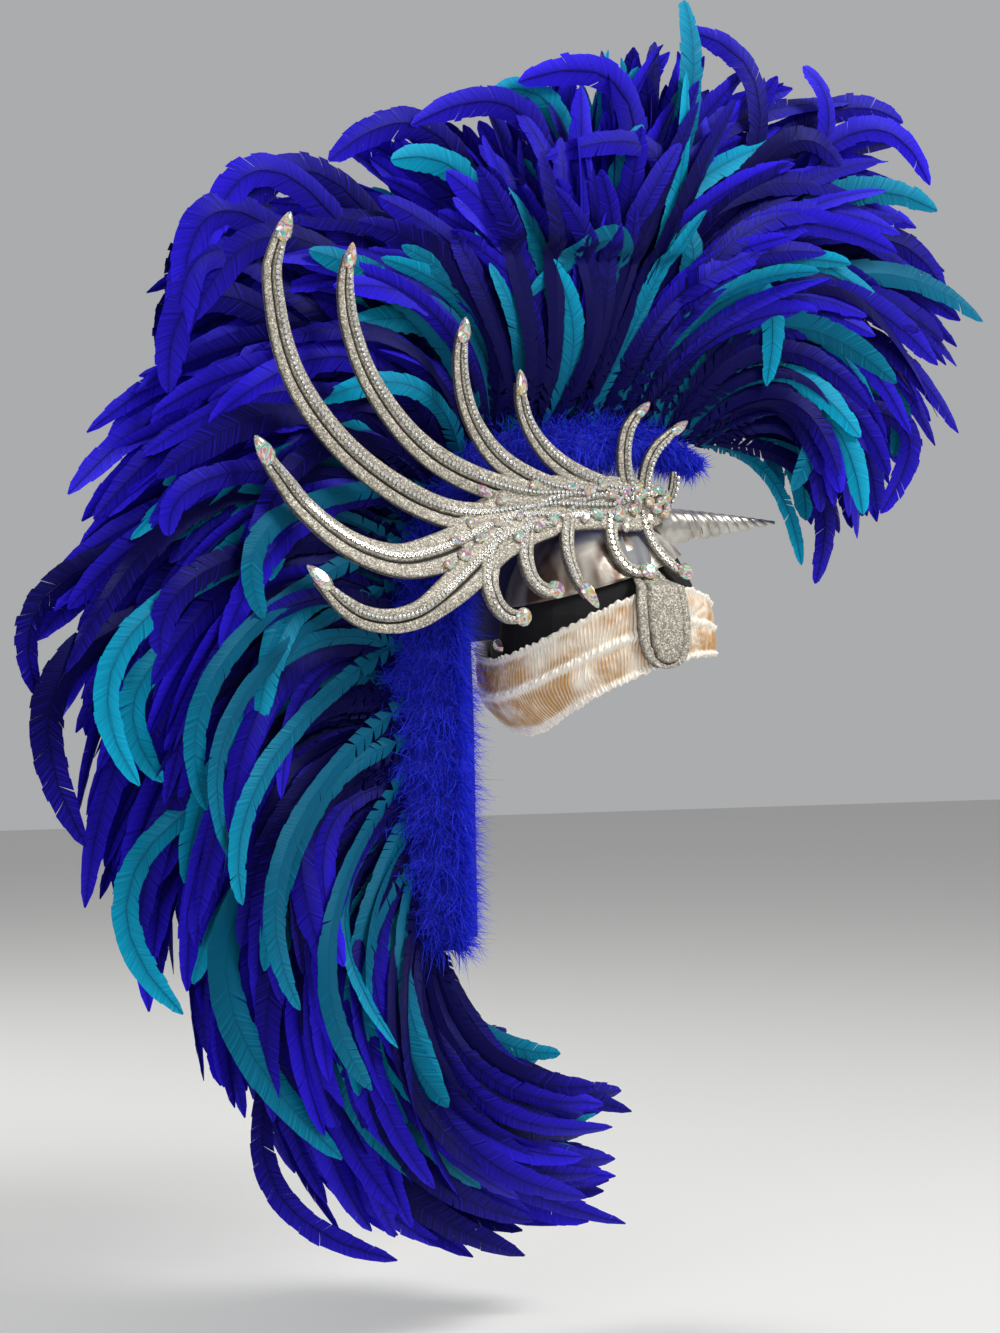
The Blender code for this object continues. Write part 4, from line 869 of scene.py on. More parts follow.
# Small crystals on the body: forward, up, half length, half width, turn in degrees
SCATTER = (
    (-0.375, 0.012, 0.016, 0.009, 150), (-0.330, -0.004, 0.013, 0.008, 20),
    (-0.245, 0.030, 0.012, 0.010, 0), (-0.290, -0.040, 0.011, 0.008, 60),
    (-0.350, -0.058, 0.014, 0.008, 160), (-0.405, -0.092, 0.012, 0.009, 30),
    (-0.420, -0.060, 0.011, 0.008, 100), (-0.250, -0.062, 0.011, 0.009, 70),
    (-0.170, -0.036, 0.011, 0.008, 120), (-0.150, 0.030, 0.012, 0.009, 170),
    (-0.105, 0.024, 0.013, 0.010, 10), (-0.118, -0.040, 0.010, 0.008, 40),
    (-0.070, 0.036, 0.010, 0.008, 90), (-0.085, -0.028, 0.014, 0.009, 140),
    (-0.045, 0.018, 0.011, 0.009, 0), (-0.012, 0.026, 0.012, 0.008, 60),
    (0.010, -0.014, 0.011, 0.009, 110), (0.030, 0.020, 0.013, 0.009, 30),
    (0.050, 0.004, 0.010, 0.010, 0), (0.074, 0.030, 0.012, 0.008, 150),
    (0.092, 0.014, 0.011, 0.009, 80), (0.088, -0.022, 0.010, 0.008, 20),
    (-0.470, -0.100, 0.012, 0.008, 160), (-0.500, -0.150, 0.010, 0.008, 140),
    (0.044, -0.036, 0.010, 0.008, 90), (-0.022, -0.058, 0.010, 0.007, 90),
    (0.020, 0.034, 0.010, 0.009, 40), (0.060, 0.026, 0.010, 0.009, 0),
    (0.078, 0.006, 0.009, 0.009, 0), (0.020, 0.004, 0.009, 0.008, 100),
    (-0.030, 0.004, 0.009, 0.008, 10), (0.096, -0.006, 0.009, 0.008, 60),
)
SCATTER_SPAN = WING_SPAN * 1.25
SCATTER_HEIGHT = 0.0040
SCATTER_SIDES = 10
# Distance over which the colours of the crystals change: 14 mm
CRYSTAL_SPARK = 1 / 70

# Cut glass with a rainbow coat: mint, rose and lilac that change from facet to facet
rainbow_crystal, shader = new_material("rainbow_coated_crystal", "#d9dde0", 0.05, 0.5,
                                       Coat_Weight=1.0, Coat_Roughness=0.02)
facet_colours(rainbow_crystal, shader,
              ("#f2f2ea", "#a9e0cf", "#3fb9b8", "#dfe6b0", "#e0929f", "#a070c4", "#f0eee4",
               "#cfd35c", "#e8838f", "#f2f2ea"), CRYSTAL_SPARK, 0.45)
for name, (half_length, half_width, pull) in TIP_STONES.items():
    tip = wing_place(*WING_ARMS[name][0][:2])
    flat = tip - wing_place(*WING_ARMS[name][1][:2])
    spot, outward = on_wing(tip, TIP_STONE_LIFT)
    points, faces = [], []
    cut_stone(spot, outward, Vector((flat.x, 0.0, flat.y)), half_length * WING_SPAN,
              half_width * WING_SPAN, pull, STONE_HEIGHT, STONE_SIDES, points, faces)
    add_pair("crystal_tip_" + name, points, faces, rainbow_crystal,
             ["tip_stone_" + name], False)
for name, (x, z, half_length, half_width, pull, turn) in BODY_STONES.items():
    spot, outward = on_wing(wing_place(x, z), BODY_STONE_LIFT)
    points, faces = [], []
    cut_stone(spot, outward, Vector((math.cos(turn), 0.0, math.sin(turn))),
              half_length * WING_SPAN, half_width * WING_SPAN, pull, STONE_HEIGHT, STONE_SIDES,
              points, faces)
    add_pair("crystal_body_" + name, points, faces, rainbow_crystal,
             ["body_stone_" + name], False)
points, faces = [], []
for x, z, half_length, half_width, turn in SCATTER:
    spot, outward = on_wing(wing_place(x, z), BODY_STONE_LIFT)
    angle = math.radians(turn)
    cut_stone(spot, outward, Vector((math.cos(angle), 0.0, math.sin(angle))),
              half_length * SCATTER_SPAN, half_width * SCATTER_SPAN, 0.0, SCATTER_HEIGHT,
              SCATTER_SIDES, points, faces)
add_pair("crystal_scatter", points, faces, rainbow_crystal, (), False)
dress_node("cap_stone", rainbow_crystal)


# Temple tabs
# Two layers of glitter foam over each temple, the smaller on top of the larger,
# with a groove between them. They hang from the wings over the ruched band.
TAB_HEIGHT = 0.087
TAB_BOTTOM = -0.003
TAB_BEND_FROM = 0.067
TAB_BEND_TO = 0.075
TAB_TONGUE = 0.35
TAB_TONGUE_GAP = 0.0008
TAB_MIDDLE = math.radians(85)
TAB_HALF_ANGLE = math.radians(14.3)
TAB_STAND_OFF = BAND_THICKNESS + BAND_FIT + 0.0009 - SILVER_GROW
TAB_THICKNESS = 0.0045
TAB_ROWS = 60
TAB_COLUMNS = 44
# Outline from the rounded lower end up: height and width as shares
TAB_OUTLINE = ((0.00, 0.00), (0.016, 0.34), (0.05, 0.56), (0.115, 0.78), (0.25, 0.94),
               (0.45, 1.00), (0.65, 1.00), (0.82, 0.95), (0.92, 0.70), (1.00, 0.40))
TAB_EDGE = 0.0016
TAB_RIM = 0.0078
TAB_GROOVE = 0.0022
TAB_STEP = 0.0010


def shares_between(rows, up):
    """The width at a height, between the rows of an outline."""
    for (low, low_width), (high, high_width) in zip(rows, rows[1:]):
        if up <= high:
            return low_width + (high_width - low_width) * (up - low) / (high - low)
    return rows[-1][1]


def tab_height(margin):
    """Height of the foam over its back, and its share of painted shade at the edge and in the groove,
    by distance from its edge.
    """
    if margin < TAB_EDGE:
        share = math.sin(margin / TAB_EDGE * math.pi / 2)
        return TAB_THICKNESS * (0.35 + 0.65 * share), 0.6 * (1 - share)
    if margin < TAB_RIM:
        return TAB_THICKNESS, 0.0
    if margin < TAB_RIM + TAB_GROOVE:
        return TAB_THICKNESS * 0.50, 0.75
    step = min((margin - TAB_RIM - TAB_GROOVE) / TAB_STEP, 1.0)
    return TAB_THICKNESS * (0.90 + 0.55 * math.sin(step * math.pi / 2)), 0.0


def sheet_faces(rows, columns):
    """Faces of a closed sheet: a front grid of points, then its back, and the rim."""
    faces = grid_faces(rows, columns, False)
    back = rows * columns
    faces += [tuple(back + i for i in reversed(face)) for face in faces]
    rim = ([(0, j) for j in range(columns)] + [(i, columns - 1) for i in range(1, rows)]
           + [(rows - 1, j) for j in reversed(range(columns - 1))]
           + [(i, 0) for i in reversed(range(1, rows - 1))])
    for (i, j), (k, m) in zip(rim, rim[1:] + rim[:1]):
        a, b = i * columns + j, k * columns + m
        faces.append((b, a, back + a, back + b))
    return faces


points = []
darks = []
for layer in (1, 0):
    for row in range(TAB_ROWS):
        up = (row / (TAB_ROWS - 1)) ** 1.25
        level = TAB_BOTTOM + up * TAB_HEIGHT
        share = dome_share(level, CAP_HEIGHT + SILVER_GROW)
        half_width = TAB_HALF_ANGLE * shares_between(TAB_OUTLINE, up)
        # Above the band the foam bends in and lies thin on the cap, under the wing
        bend = min(max((level - TAB_BEND_FROM) / (TAB_BEND_TO - TAB_BEND_FROM), 0.0), 1.0)
        bend = (1 - math.cos(math.pi * bend)) / 2
        for column in range(TAB_COLUMNS):
            across = math.sin((column / (TAB_COLUMNS - 1) - 0.5) * math.pi)
            turn = -TAB_MIDDLE - half_width * across
            side_margin = (1 - abs(across)) * half_width * CAP_LENGTH / 2
            margin = min(side_margin, up * TAB_HEIGHT * 0.9 + side_margin * 0.4)
            height, dark = tab_height(margin)
            out = (TAB_STAND_OFF * (1 - bend) + TAB_TONGUE_GAP * bend
                   + layer * height * (1 - (1 - TAB_TONGUE) * bend))
            points.append(cap_point(turn, share, out, level))
            # Painted shade: the groove and the cut edge are darkened, and the back against the cap is
            # painted fully dark
            darks.append(dark if layer else 1.0)
for tab in add_pair("glitter_tab", points, sheet_faces(TAB_ROWS, TAB_COLUMNS), glitter_foam,
                    ["temple_tab"]):
    mark(tab, "dark", darks)


# Satin leaves
# A scrap of grey satin folded lengthways and tucked between the two front lower
# arms of each wing.
LEAF_HEIGHT = 0.041
LEAF_BOTTOM = 0.080
LEAF_MIDDLE = math.radians(87)
LEAF_HALF_ANGLE = math.radians(15)
LEAF_THICKNESS = 0.0036
LEAF_STAND_OFF = 0.0012
LEAF_OUTLINE = ((0.00, 0.45), (0.15, 0.72), (0.40, 1.00), (0.70, 1.00), (0.88, 0.80),
                (1.00, 0.55))
LEAF_ROWS = 30
LEAF_COLUMNS = 32
# Real threads lie 0.1 mm apart, and are drawn 0.9 mm apart so that they show
GREY_THREAD = 1 / 1100

points = []
for layer in (1, 0):
    for row in range(LEAF_ROWS):
        up = row / (LEAF_ROWS - 1)
        level = LEAF_BOTTOM + up * LEAF_HEIGHT
        share = dome_share(level, CAP_HEIGHT + SILVER_GROW)
        half_width = LEAF_HALF_ANGLE * shares_between(LEAF_OUTLINE, up)
        for column in range(LEAF_COLUMNS):
            across = 2 * column / (LEAF_COLUMNS - 1) - 1
            turn = -LEAF_MIDDLE - half_width * across
            fold = 0.55 + 0.40 * math.cos(across * 5.0 + 2.0 * up) - 0.35 * abs(across)
            out = LEAF_STAND_OFF + layer * LEAF_THICKNESS * max(fold, 0.12)
            points.append(cap_point(turn, share, out, level))
# Acetate satin: pale grey, with a long soft sheen down the folds
grey_satin, shader = new_material("folded_grey_satin", "#77797c", 0.55,
                                  Sheen_Weight=0.15, Sheen_Roughness=0.3)
float_threads = noise_over(grey_satin, GREY_THREAD)
raise_by(grey_satin, shader, float_threads, 0.2, 0.0003)
tint_by(grey_satin, shader, float_threads, "#5f6164", "#84868a")
add_pair("folded_satin_leaf", points, sheet_faces(LEAF_ROWS, LEAF_COLUMNS), grey_satin,
         ["satin_leaf"])


# Marabou
# A boa of royal blue down wound on the ridge frame, over the crown and down the
# back. Fine soft strands stand out all round it and hide the feather quills.

# Ridge line from the brow to the lower end: forward and up as shares of CAP_LENGTH
RIDGE_LINE = (
    (0.530, 0.909), (0.253, 0.995), (-0.025, 0.975), (-0.495, 0.869), (-0.758, 0.631),
    (-0.833, 0.303), (-0.818, -0.253), (-0.808, -0.758), (-0.798, -1.212),
)
MARABOU_HALF_HEIGHT = 0.029
MARABOU_SPLIT = 0.43
MARABOU_CORE = 0.76
BOA_WIDTH = 0.044
BOA_INWARD = 0.015
# How far the boa stands out over the brow, the crown and the back
BOA_STAND_PLACES = (0.04, 0.24, 0.56)
BOA_STANDS = (0.005, 0.028, 0.068)
MARABOU_RING = 40
STRANDS_CROWN = 18000
STRANDS_BACK = 38000
STRAND_LENGTH = 0.033
STRAND_WIDTH = 0.00075
STRAND_SPREAD = 0.50
STRAND_DROOP = 0.25
WING_CLEARANCE = 0.0060
# The wings' reach, forward and up, and how fast the feathers may widen beyond it
WING_FORWARD = (-0.375, 0.065)
WING_UP = (0.020, 0.355)
WIDENING = 6.0
chance = np.random.default_rng(11)


def unit(rows):
    """Rows of directions brought to a length of 1."""
    return rows / np.linalg.norm(rows, axis=1)[:, None]


ridge_samples = smooth_path([Vector((x, 0.0, z)) * CAP_LENGTH for x, z in RIDGE_LINE], 240)
RIDGE = np.array([tuple(point) for point in ridge_samples])
ALONG = unit(np.gradient(RIDGE, axis=0))
OUTWARD = np.stack([ALONG[:, 2], 0 * ALONG[:, 0], -ALONG[:, 0]], axis=1)


def ridge_spot(share):
    """Places on the ridge line with their outward directions, for many shares."""
    place = np.clip(share, 0.0, 1.0) * (len(RIDGE) - 1)
    low = np.minimum(place.astype(int), len(RIDGE) - 2)
    part = (place - low)[:, None]
    spot = RIDGE[low] * (1 - part) + RIDGE[low + 1] * part
    out = OUTWARD[low] * (1 - part) + OUTWARD[low + 1] * part
    return spot, unit(out)


def wing_room(points):
    """Eases points in under the wings, where the wings lie over them."""
    x, y, z = points[:, 0], points[:, 1], points[:, 2]
    inner = (wing_surface(0.0, 1.0)
             + WING_FOLD_SLOPE * np.clip(WING_FOLD_HEIGHT - z, 0, WING_FOLD_DEPTH)
             + WING_FLARE * np.clip(WING_FLARE_FROM - x, 0, None)) - WING_CLEARANCE
    beyond = np.maximum.reduce([WING_FORWARD[0] - x, x - WING_FORWARD[1],
                                WING_UP[0] - z, z - WING_UP[1], 0 * x])
    limit = inner + WIDENING * beyond
    size = np.abs(y) / limit
    points[:, 1] = y / (1.0 + size**6) ** (1 / 6)
    return points


def boa_size(share, angle):
    """Size of the boa's tufts at a place, from 0.85 to 1.15, less at its ends."""
    return (1.0 + 0.08 * np.sin(share * 95 + 2 * angle) + 0.07 * np.sin(share * 160 - 3 * angle)
            - 0.35 * np.exp(-((share / 0.018) ** 2)) - 0.20 * np.exp(-(((1 - share) / 0.018) ** 2)))


def boa_surface(share, angle, size):
    """Places on the boa along the ridge and round it, with their outward directions."""
    spot, out = ridge_spot(share)
    scale = (size * boa_size(share, angle))[:, None]
    across = np.array([0.0, 1.0, 0.0]) * np.interp(share, (0.0, 0.16), (0.50, 1.0))[:, None]
    height = np.where(np.sin(angle) > 0, np.interp(share, BOA_STAND_PLACES, BOA_STANDS), BOA_INWARD)
    direction = (across * (np.cos(angle) * BOA_WIDTH)[:, None]
                 + out * (np.sin(angle) * height)[:, None])
    return spot + direction * scale, direction


# Down dyed royal blue: matt, with painted light caught in the outer strands and painted shade in the
# core
marabou_down, shader = new_material("dyed_marabou_down", "#0f1fd0", 0.85,
                                    Sheen_Weight=0.35, Sheen_Roughness=0.5,
                                    Sheen_Tint=linear("#3a48ff"))
tint_by(marabou_down, shader, marked(marabou_down, "reach"), "#070c96", "#1c34ff")


def add_boa(name, start, end, strands, node):
    """The boa's core and its strands over a stretch of the ridge, as one piece."""
    rings = max(8, int((end - start) * 260))
    shares = np.repeat(np.linspace(start, end, rings), MARABOU_RING)
    angles = np.tile(np.linspace(0, 2 * math.pi, MARABOU_RING, endpoint=False), rings)
    core, _ = boa_surface(shares, angles, np.full(len(shares), MARABOU_CORE))
    core_faces = grid_faces(rings, MARABOU_RING, True)
    share = chance.uniform(start, end, strands)
    angle = chance.uniform(0, 2 * math.pi, strands)
    root, direction = boa_surface(share, angle, np.full(strands, MARABOU_CORE * 0.97))
    direction = unit(direction)
    lean = chance.normal(0, STRAND_SPREAD, (strands, 3))
    lean[:, 2] -= STRAND_DROOP
    aim = unit(direction + lean)
    length = STRAND_LENGTH * chance.uniform(0.30, 1.0, strands)[:, None] ** 1.3
    length *= np.interp(share, (0.02, 0.16), (0.50, 1.0))[:, None]
    side = unit(np.cross(aim, chance.normal(0, 1, (strands, 3))))
    width = STRAND_WIDTH * chance.uniform(0.6, 1.2, strands)[:, None]
    bend = chance.normal(0, STRAND_SPREAD / 2, (strands, 3))
    bend[:, 2] -= STRAND_DROOP
    middle = root + aim * length * 0.55
    tip = root + (aim + bend * 0.6) * length
    corners = np.stack([root - side * width / 2, root + side * width / 2,
                        middle - side * width * 0.38, middle + side * width * 0.38, tip], axis=1)
    first = len(core)
    base = first + 5 * np.arange(strands)[:, None]
    quads = base + np.array([[0, 1, 3, 2]])
    tips = base + np.array([[2, 3, 4]])
    points = wing_room(np.concatenate([core, corners.reshape(-1, 3)]))
    faces = core_faces + quads.tolist() + tips.tolist()
    faces.append(tuple(range(MARABOU_RING)))
    faces.append(tuple((rings - 1) * MARABOU_RING + i for i in reversed(range(MARABOU_RING))))
    item = add_piece(name, points, faces, marabou_down, [node])
    # Painted shade: deep blue in the core, and paler along each strand as painted caught light
    mark(item, "reach", np.concatenate([np.full(first, 0.05),
                                        np.tile([0.15, 0.15, 0.6, 0.6, 1.0], strands)]))


add_boa("marabou_boa_crown", 0.0, MARABOU_SPLIT, STRANDS_CROWN, "marabou_crown")
add_boa("marabou_boa_back", MARABOU_SPLIT, 1.0, STRANDS_BACK, "marabou_back")


# Mane
# Hundreds of long cock feathers, dyed royal blue with turquoise among them, their
# quills bound to the ridge under the marabou. Each curls over towards its tip.
MANE_REACH = 0.500
MANE_DEPTH = 0.056
# Quills are bound this far up the half height of the marabou, and this far apart
BIND_SHARE = 0.55
BIND_DEPTH = 0.012
# The middle of a feather lies at this share of the mane's depth there
MIDDLE_SHARE = 0.92
# Locks: root as a share of the ridge, tip forward and up as shares of MANE_REACH,
# and the bow as a share of the length
MANE_LOCKS = np.array((
    (0.012, 0.568, 0.224, 0.40), (0.032, 0.638, 0.310, 0.42), (0.054, 0.758, 0.438, 0.38),
    (0.078, 0.836, 0.652, 0.30), (0.100, 0.710, 0.852, 0.26), (0.125, 0.690, 0.960, 0.22),
    (0.150, 0.668, 1.028, 0.18), (0.178, 0.418, 1.086, 0.12), (0.200, 0.182, 1.194, 0.00),
    (0.225, 0.050, 1.140, -0.03), (0.250, -0.090, 1.060, -0.08), (0.275, -0.226, 0.990, -0.16),
    (0.298, -0.392, 0.922, -0.20), (0.320, -0.542, 0.840, -0.22), (0.345, -0.706, 0.760, -0.24),
    (0.365, -0.754, 0.662, -0.26), (0.387, -0.812, 0.540, -0.27), (0.410, -0.880, 0.424, -0.28),
    (0.435, -0.966, 0.356, -0.26), (0.460, -0.998, 0.230, -0.26), (0.487, -1.024, 0.150, -0.27),
    (0.518, -1.048, -0.054, -0.28), (0.550, -1.000, -0.140, -0.28), (0.585, -0.974, -0.214, -0.28),
    (0.620, -0.974, -0.292, -0.27), (0.655, -0.932, -0.422, -0.27), (0.692, -0.898, -0.502, -0.27),
    (0.742, -0.794, -0.670, -0.28), (0.772, -0.706, -0.758, -0.28), (0.804, -0.580, -0.836, -0.28),
    (0.837, -0.506, -0.960, -0.28), (0.870, -0.412, -1.006, -0.28), (0.902, -0.176, -1.020, -0.30),
    (0.930, 0.038, -0.984, -0.28), (0.958, 0.020, -0.890, -0.26), (0.984, 0.038, -0.786, -0.22),
))
# Stretches of the mane: name, first lock, last lock, depth as a share of MANE_DEPTH,
# royal feathers and turquoise feathers
MANE_STRETCHES = (
    ("mane_front", 0.0, 6.6, 1.25, 165, 36),
    ("mane_crown", 6.4, 13.6, 1.20, 175, 52),
    ("mane_nape", 13.4, 20.6, 1.05, 165, 50),
    ("mane_back", 20.4, 26.6, 1.35, 160, 50),
    ("mane_tail", 26.4, 35.0, 1.45, 200, 56),
)
# Half thickness of the mane from root to tip: place along it and depth as a share
DEPTH_PLACES = (0.00, 0.14, 0.34, 0.58, 0.82, 1.00)
DEPTH_SHARES = (0.20, 0.50, 0.82, 1.00, 0.66, 0.08)
# How far feathers stray from their lock: root share, tip, bow and sides
ROOT_STRAY = 0.006
TIP_STRAY = 0.011
BOW_STRAY = 0.055
SIDE_STRAY = 0.006
MIDDLE_STRAY = 0.007
# How much shorter feathers are in the outer layers, by chance, and if turquoise
OUTER_SHORTER = 0.32
CHANCE_SHORTER = 0.26
TURQUOISE_LENGTH = 0.88
FEATHER_WIDTH = 0.025
FEATHER_CLUMPS = 36
QUILL_RADIUS = 0.0009
QUILL_STEPS = 10
# Width of a feather from quill to tip: place along it and width as a share
WIDTH_PLACES = (0.00, 0.12, 0.30, 0.50, 0.68, 0.82, 0.92, 0.97, 1.00)
WIDTH_SHARES = (0.30, 0.60, 0.76, 0.92, 1.00, 0.95, 0.72, 0.44, 0.06)
# Rows of barbs across a vane: how far out each lies and how far it droops
BARB_ROWS = ((0.0, 0.0), (0.55, 0.06), (1.0, 0.20))
BARB_SWEEP = 0.75
BARB_RAGGED = 0.045
# Real barbs lie 0.3 mm apart, and are drawn 1.3 mm apart so that they show. The dye
# is streaked every 2.6 mm.
BARB_SPACING = 0.0013
DYE_STREAK = 1 / 380
SPLIT_GAPS = (0.0002, 0.0009)
SPLIT_SHARES = np.array((1.0, 0.6, 0.3))
NARROW_VANE = 0.93
WIDE_VANE = 1.07
LOOSE_BASE = 0.24
LOOSE_STRAY = 0.004
# Feathers that stand out, by dye: root share, then the middle and the tip in mm forward
# and up, the distance from the middle plane in mm, and the width in mm
STANDOUTS = {
    "royal": (
        (0.150, 156, 469, 76, 565, -22, 25), (0.110, 212, 437, 205, 545, -26, 24),
        (0.125, 187, 467, 334, 510, -8, 25), (0.115, 232, 472, 358, 452, -18, 24),
        (0.140, 148, 448, 250, 443, -34, 23), (0.070, 255, 385, 382, 352, -12, 26),
        (0.050, 226, 305, 376, 218, -38, 24), (0.040, 299, 232, 292, 141, -28, 23),
        (0.020, 214, 172, 223, 75, -20, 22), (0.235, 24, 470, -93, 500, -22, 30),
        (0.215, 45, 423, -78, 433, -40, 24), (0.270, -68, 447, -196, 453, -20, 28),
        (0.300, -150, 430, -271, 417, -16, 28), (0.990, -140, -318, 17, -390, -30, 20),
        (0.960, -157, -377, 3, -446, -26, 20), (0.935, -196, -367, 17, -490, -20, 22),
        (0.900, -253, -371, -88, -506, -24, 26), (0.860, -330, -373, -204, -500, -10, 22),
        (0.480, -468, 84, -520, -25, -8, 24), (0.560, -480, 20, -487, -142, -24, 30),
        (0.330, -262, 396, -375, 333, -18, 30), (0.350, -290, 344, -399, 275, -28, 28),
        (0.410, -300, 175, -372, 52, -66, 24), (0.430, -310, 120, -388, 10, -60, 22),
        (0.360, -297, 390, -386, 333, -25, 30), (0.375, -336, 359, -406, 290, -25, 32),
        (0.385, -347, 329, -411, 253, -25, 32), (0.400, -356, 295, -418, 217, -25, 30),
        (0.370, -318, 340, -398, 300, 20, 32), (0.390, -330, 300, -404, 250, 20, 32),
        (0.420, -375, 153, -434, 101, -64, 22), (0.470, -389, 82, -443, 8, -68, 24),
    ),
    "turquoise": (
        (0.215, 61, 436, 70, 587, -34, 28), (0.095, 187, 403, 354, 425, -34, 26),
        (0.075, 230, 352, 412, 326, -30, 26), (0.030, 196, 240, 178, 157, -46, 23),
        (0.045, 280, 262, 313, 195, -20, 22), (0.012, 176, 172, 215, 92, -10, 15),
        (0.250, -33, 442, -111, 492, -8, 24), (0.235, -5, 361, -103, 306, -48, 24),
        (0.300, -128, 382, -220, 420, -30, 26), (0.520, -425, 12, -430, -92, -42, 24),
        (0.760, -374, -215, -271, -404, -40, 30), (0.690, -437, -140, -410, -277, -36, 24),
        (0.860, -271, -320, -138, -452, -36, 24), (0.150, 128, 330, 150, 250, -46, 22),
        (0.180, 70, 330, 40, 410, -40, 22), (0.455, -386, 14, -408, -113, -78, 19),
        (0.510, -376, -21, -387, -153, -80, 18), (0.580, -353, -73, -378, -188, -80, 21),
        (0.660, -339, -140, -328, -274, -80, 21), (0.400, -339, 119, -357, 37, -74, 20),
        (0.740, -299, -212, -261, -344, -74, 20), (0.440, -452, 41, -461, -93, -70, 22),
    ),
}


def lock_at(place):
    """Interpolates the locks at a place along the list."""
    low = min(int(place), len(MANE_LOCKS) - 2)
    part = place - low
    return MANE_LOCKS[low] * (1 - part) + MANE_LOCKS[low + 1] * part


def feather(curve, start_side, middle_side, end_side, width, tilt, curl, down):
    """Points, faces, tint and barb places of one feather along a curve.

    curve gives the root, knee and tip in the middle plane; the sides are the
    distances of those places from it, and tilt turns the vane about its quill.
    """
    root, knee, tip = curve
    t = np.linspace(0.0, 1.0, FEATHER_CLUMPS + 1)
    weights = (1 - t) ** 2, 2 * t * (1 - t), t**2
    flat = sum(weight[:, None] * place for weight, place in zip(weights, (root, knee, tip)))
    side = sum(weight * place for weight, place in zip(weights, (start_side, middle_side, end_side)))
    quill = np.stack([flat[:, 0], side, flat[:, 1]], axis=1)
    along = np.gradient(quill, axis=0)
    step = np.linalg.norm(along, axis=1)
    along /= step[:, None]
    face_sign = -1.0 if middle_side < 0 else 1.0
    normal = np.tile([0.0, face_sign, 0.0], (len(t), 1))
    normal = unit(normal - along * (normal * along).sum(axis=1)[:, None])
    across = np.cross(along, normal)
    angle = tilt + curl * (t - 0.5)
    vane = across * np.cos(angle)[:, None] + normal * np.sin(angle)[:, None]
    face = np.cross(vane, along)
    half = width / 2 * np.interp(t, WIDTH_PLACES, WIDTH_SHARES)
    distance = np.concatenate([[0.0], np.cumsum(np.linalg.norm(np.diff(quill, axis=0), axis=1))])
    all_points, all_faces, tints, places = [], [], [], []
    count = FEATHER_CLUMPS
    for hand in (1.0, -1.0):
        slip = np.zeros(count)
        # Splits: the clumps on either side of one are pushed apart along the quill
        for split in chance.integers(3, count - 2, 2):
            gap = chance.uniform(*SPLIT_GAPS)
            slip[split:split + 3] += gap * SPLIT_SHARES[:len(slip[split:split + 3])]
            slip[split - 3:split] -= gap * SPLIT_SHARES[::-1]
        # Near the root the clumps are loose and narrow, and lengths vary
        ragged = 1.0 + chance.normal(0, BARB_RAGGED, count)
        loose = np.clip(1.0 - t[:-1] / LOOSE_BASE, 0, 1)
        ragged += loose * (chance.uniform(0.0, 0.55, count) + down)
        slip += loose * chance.normal(0, LOOSE_STRAY, count)
        narrow = 0.5 * loose * 0.85
        for out_share, droop in BARB_ROWS:
            for end in (0, 1):
                i = np.arange(count) + end
                reach = half[i] * out_share * ragged * (NARROW_VANE if hand > 0 else WIDE_VANE)
                pull = narrow * out_share * (1 if end == 0 else -1) * step[i]
                point = (quill[i] + vane[i] * (hand * reach)[:, None]
                         + along[i] * (BARB_SWEEP * reach + slip * out_share + pull)[:, None]
                         - face[i] * (droop * half[i]
                                      + loose * out_share * down * LOOSE_STRAY)[:, None])
                all_points.append(point)
                tints.append(t[i])
                places.append(np.stack([np.full(count, out_share * hand), distance[i]], axis=1))
        a = (len(all_points) - 2 * len(BARB_ROWS)) * count + np.arange(count)
        for level in (0, 1):
            low, high = a + 2 * level * count, a + 2 * (level + 1) * count
            quad = np.stack([low, high, high + count, low + count], axis=1)
            all_faces.append(quad if hand > 0 else quad[:, ::-1])
    points = np.concatenate(all_points)
    tint = np.concatenate(tints)
    place = np.concatenate(places)
    picks = np.linspace(0, count, QUILL_STEPS + 1).astype(int)
    rings = []
    for corner in range(3):
        turn = 2 * math.pi * corner / 3 + math.pi / 2
        radius = QUILL_RADIUS * (1.0 - 0.75 * t[picks])
        rings.append(quill[picks] + vane[picks] * (radius * math.cos(turn))[:, None]
                     + face[picks] * (radius * math.sin(turn))[:, None])
    first = len(points)
    stem = np.stack(rings, axis=1).reshape(-1, 3)
    stem_faces = []
    a = first + 3 * np.arange(QUILL_STEPS)
    for corner in range(3):
        after = (corner + 1) % 3
        stem_faces.append(np.stack([a + corner, a + after, a + 3 + after, a + 3 + corner], axis=1))
    points = np.concatenate([points, stem])
    tint = np.concatenate([tint, np.repeat(t[picks], 3)])
    place = np.concatenate([place, np.stack([np.zeros(len(stem)), np.repeat(distance[picks], 3)],
                                            axis=1)])
    return wing_room(points), np.concatenate(all_faces + stem_faces), tint, place


def add_feathers(name, feathers, material, nodes=()):
    """Joins feathers into one piece, with the values that its dye reads."""
    points, faces, tints, shades, places = [], [], [], [], []
    first = 0
    for spots, quads, tint, place in feathers:
        points.append(spots)
        faces.append(quads + first)
        tints.append(tint)
        shades.append(np.full(len(spots), chance.uniform(0, 1)))
        places.append(place + np.array([0.0, chance.uniform(0, 0.01)]))
        first += len(spots)
    points = np.concatenate(points)
    faces = np.concatenate(faces)
    item = add_piece(name, points, faces.tolist(), material, nodes)
    mesh = item.data
    mark(item, "span", np.concatenate(tints))
    mark(item, "shade", np.concatenate(shades))
    layer = mesh.uv_layers.new(name="barbs")
    corners = np.empty(len(mesh.loops), dtype=np.int32)
    mesh.loops.foreach_get("vertex_index", corners)
    layer.data.foreach_set("uv", np.concatenate(places)[corners].ravel())


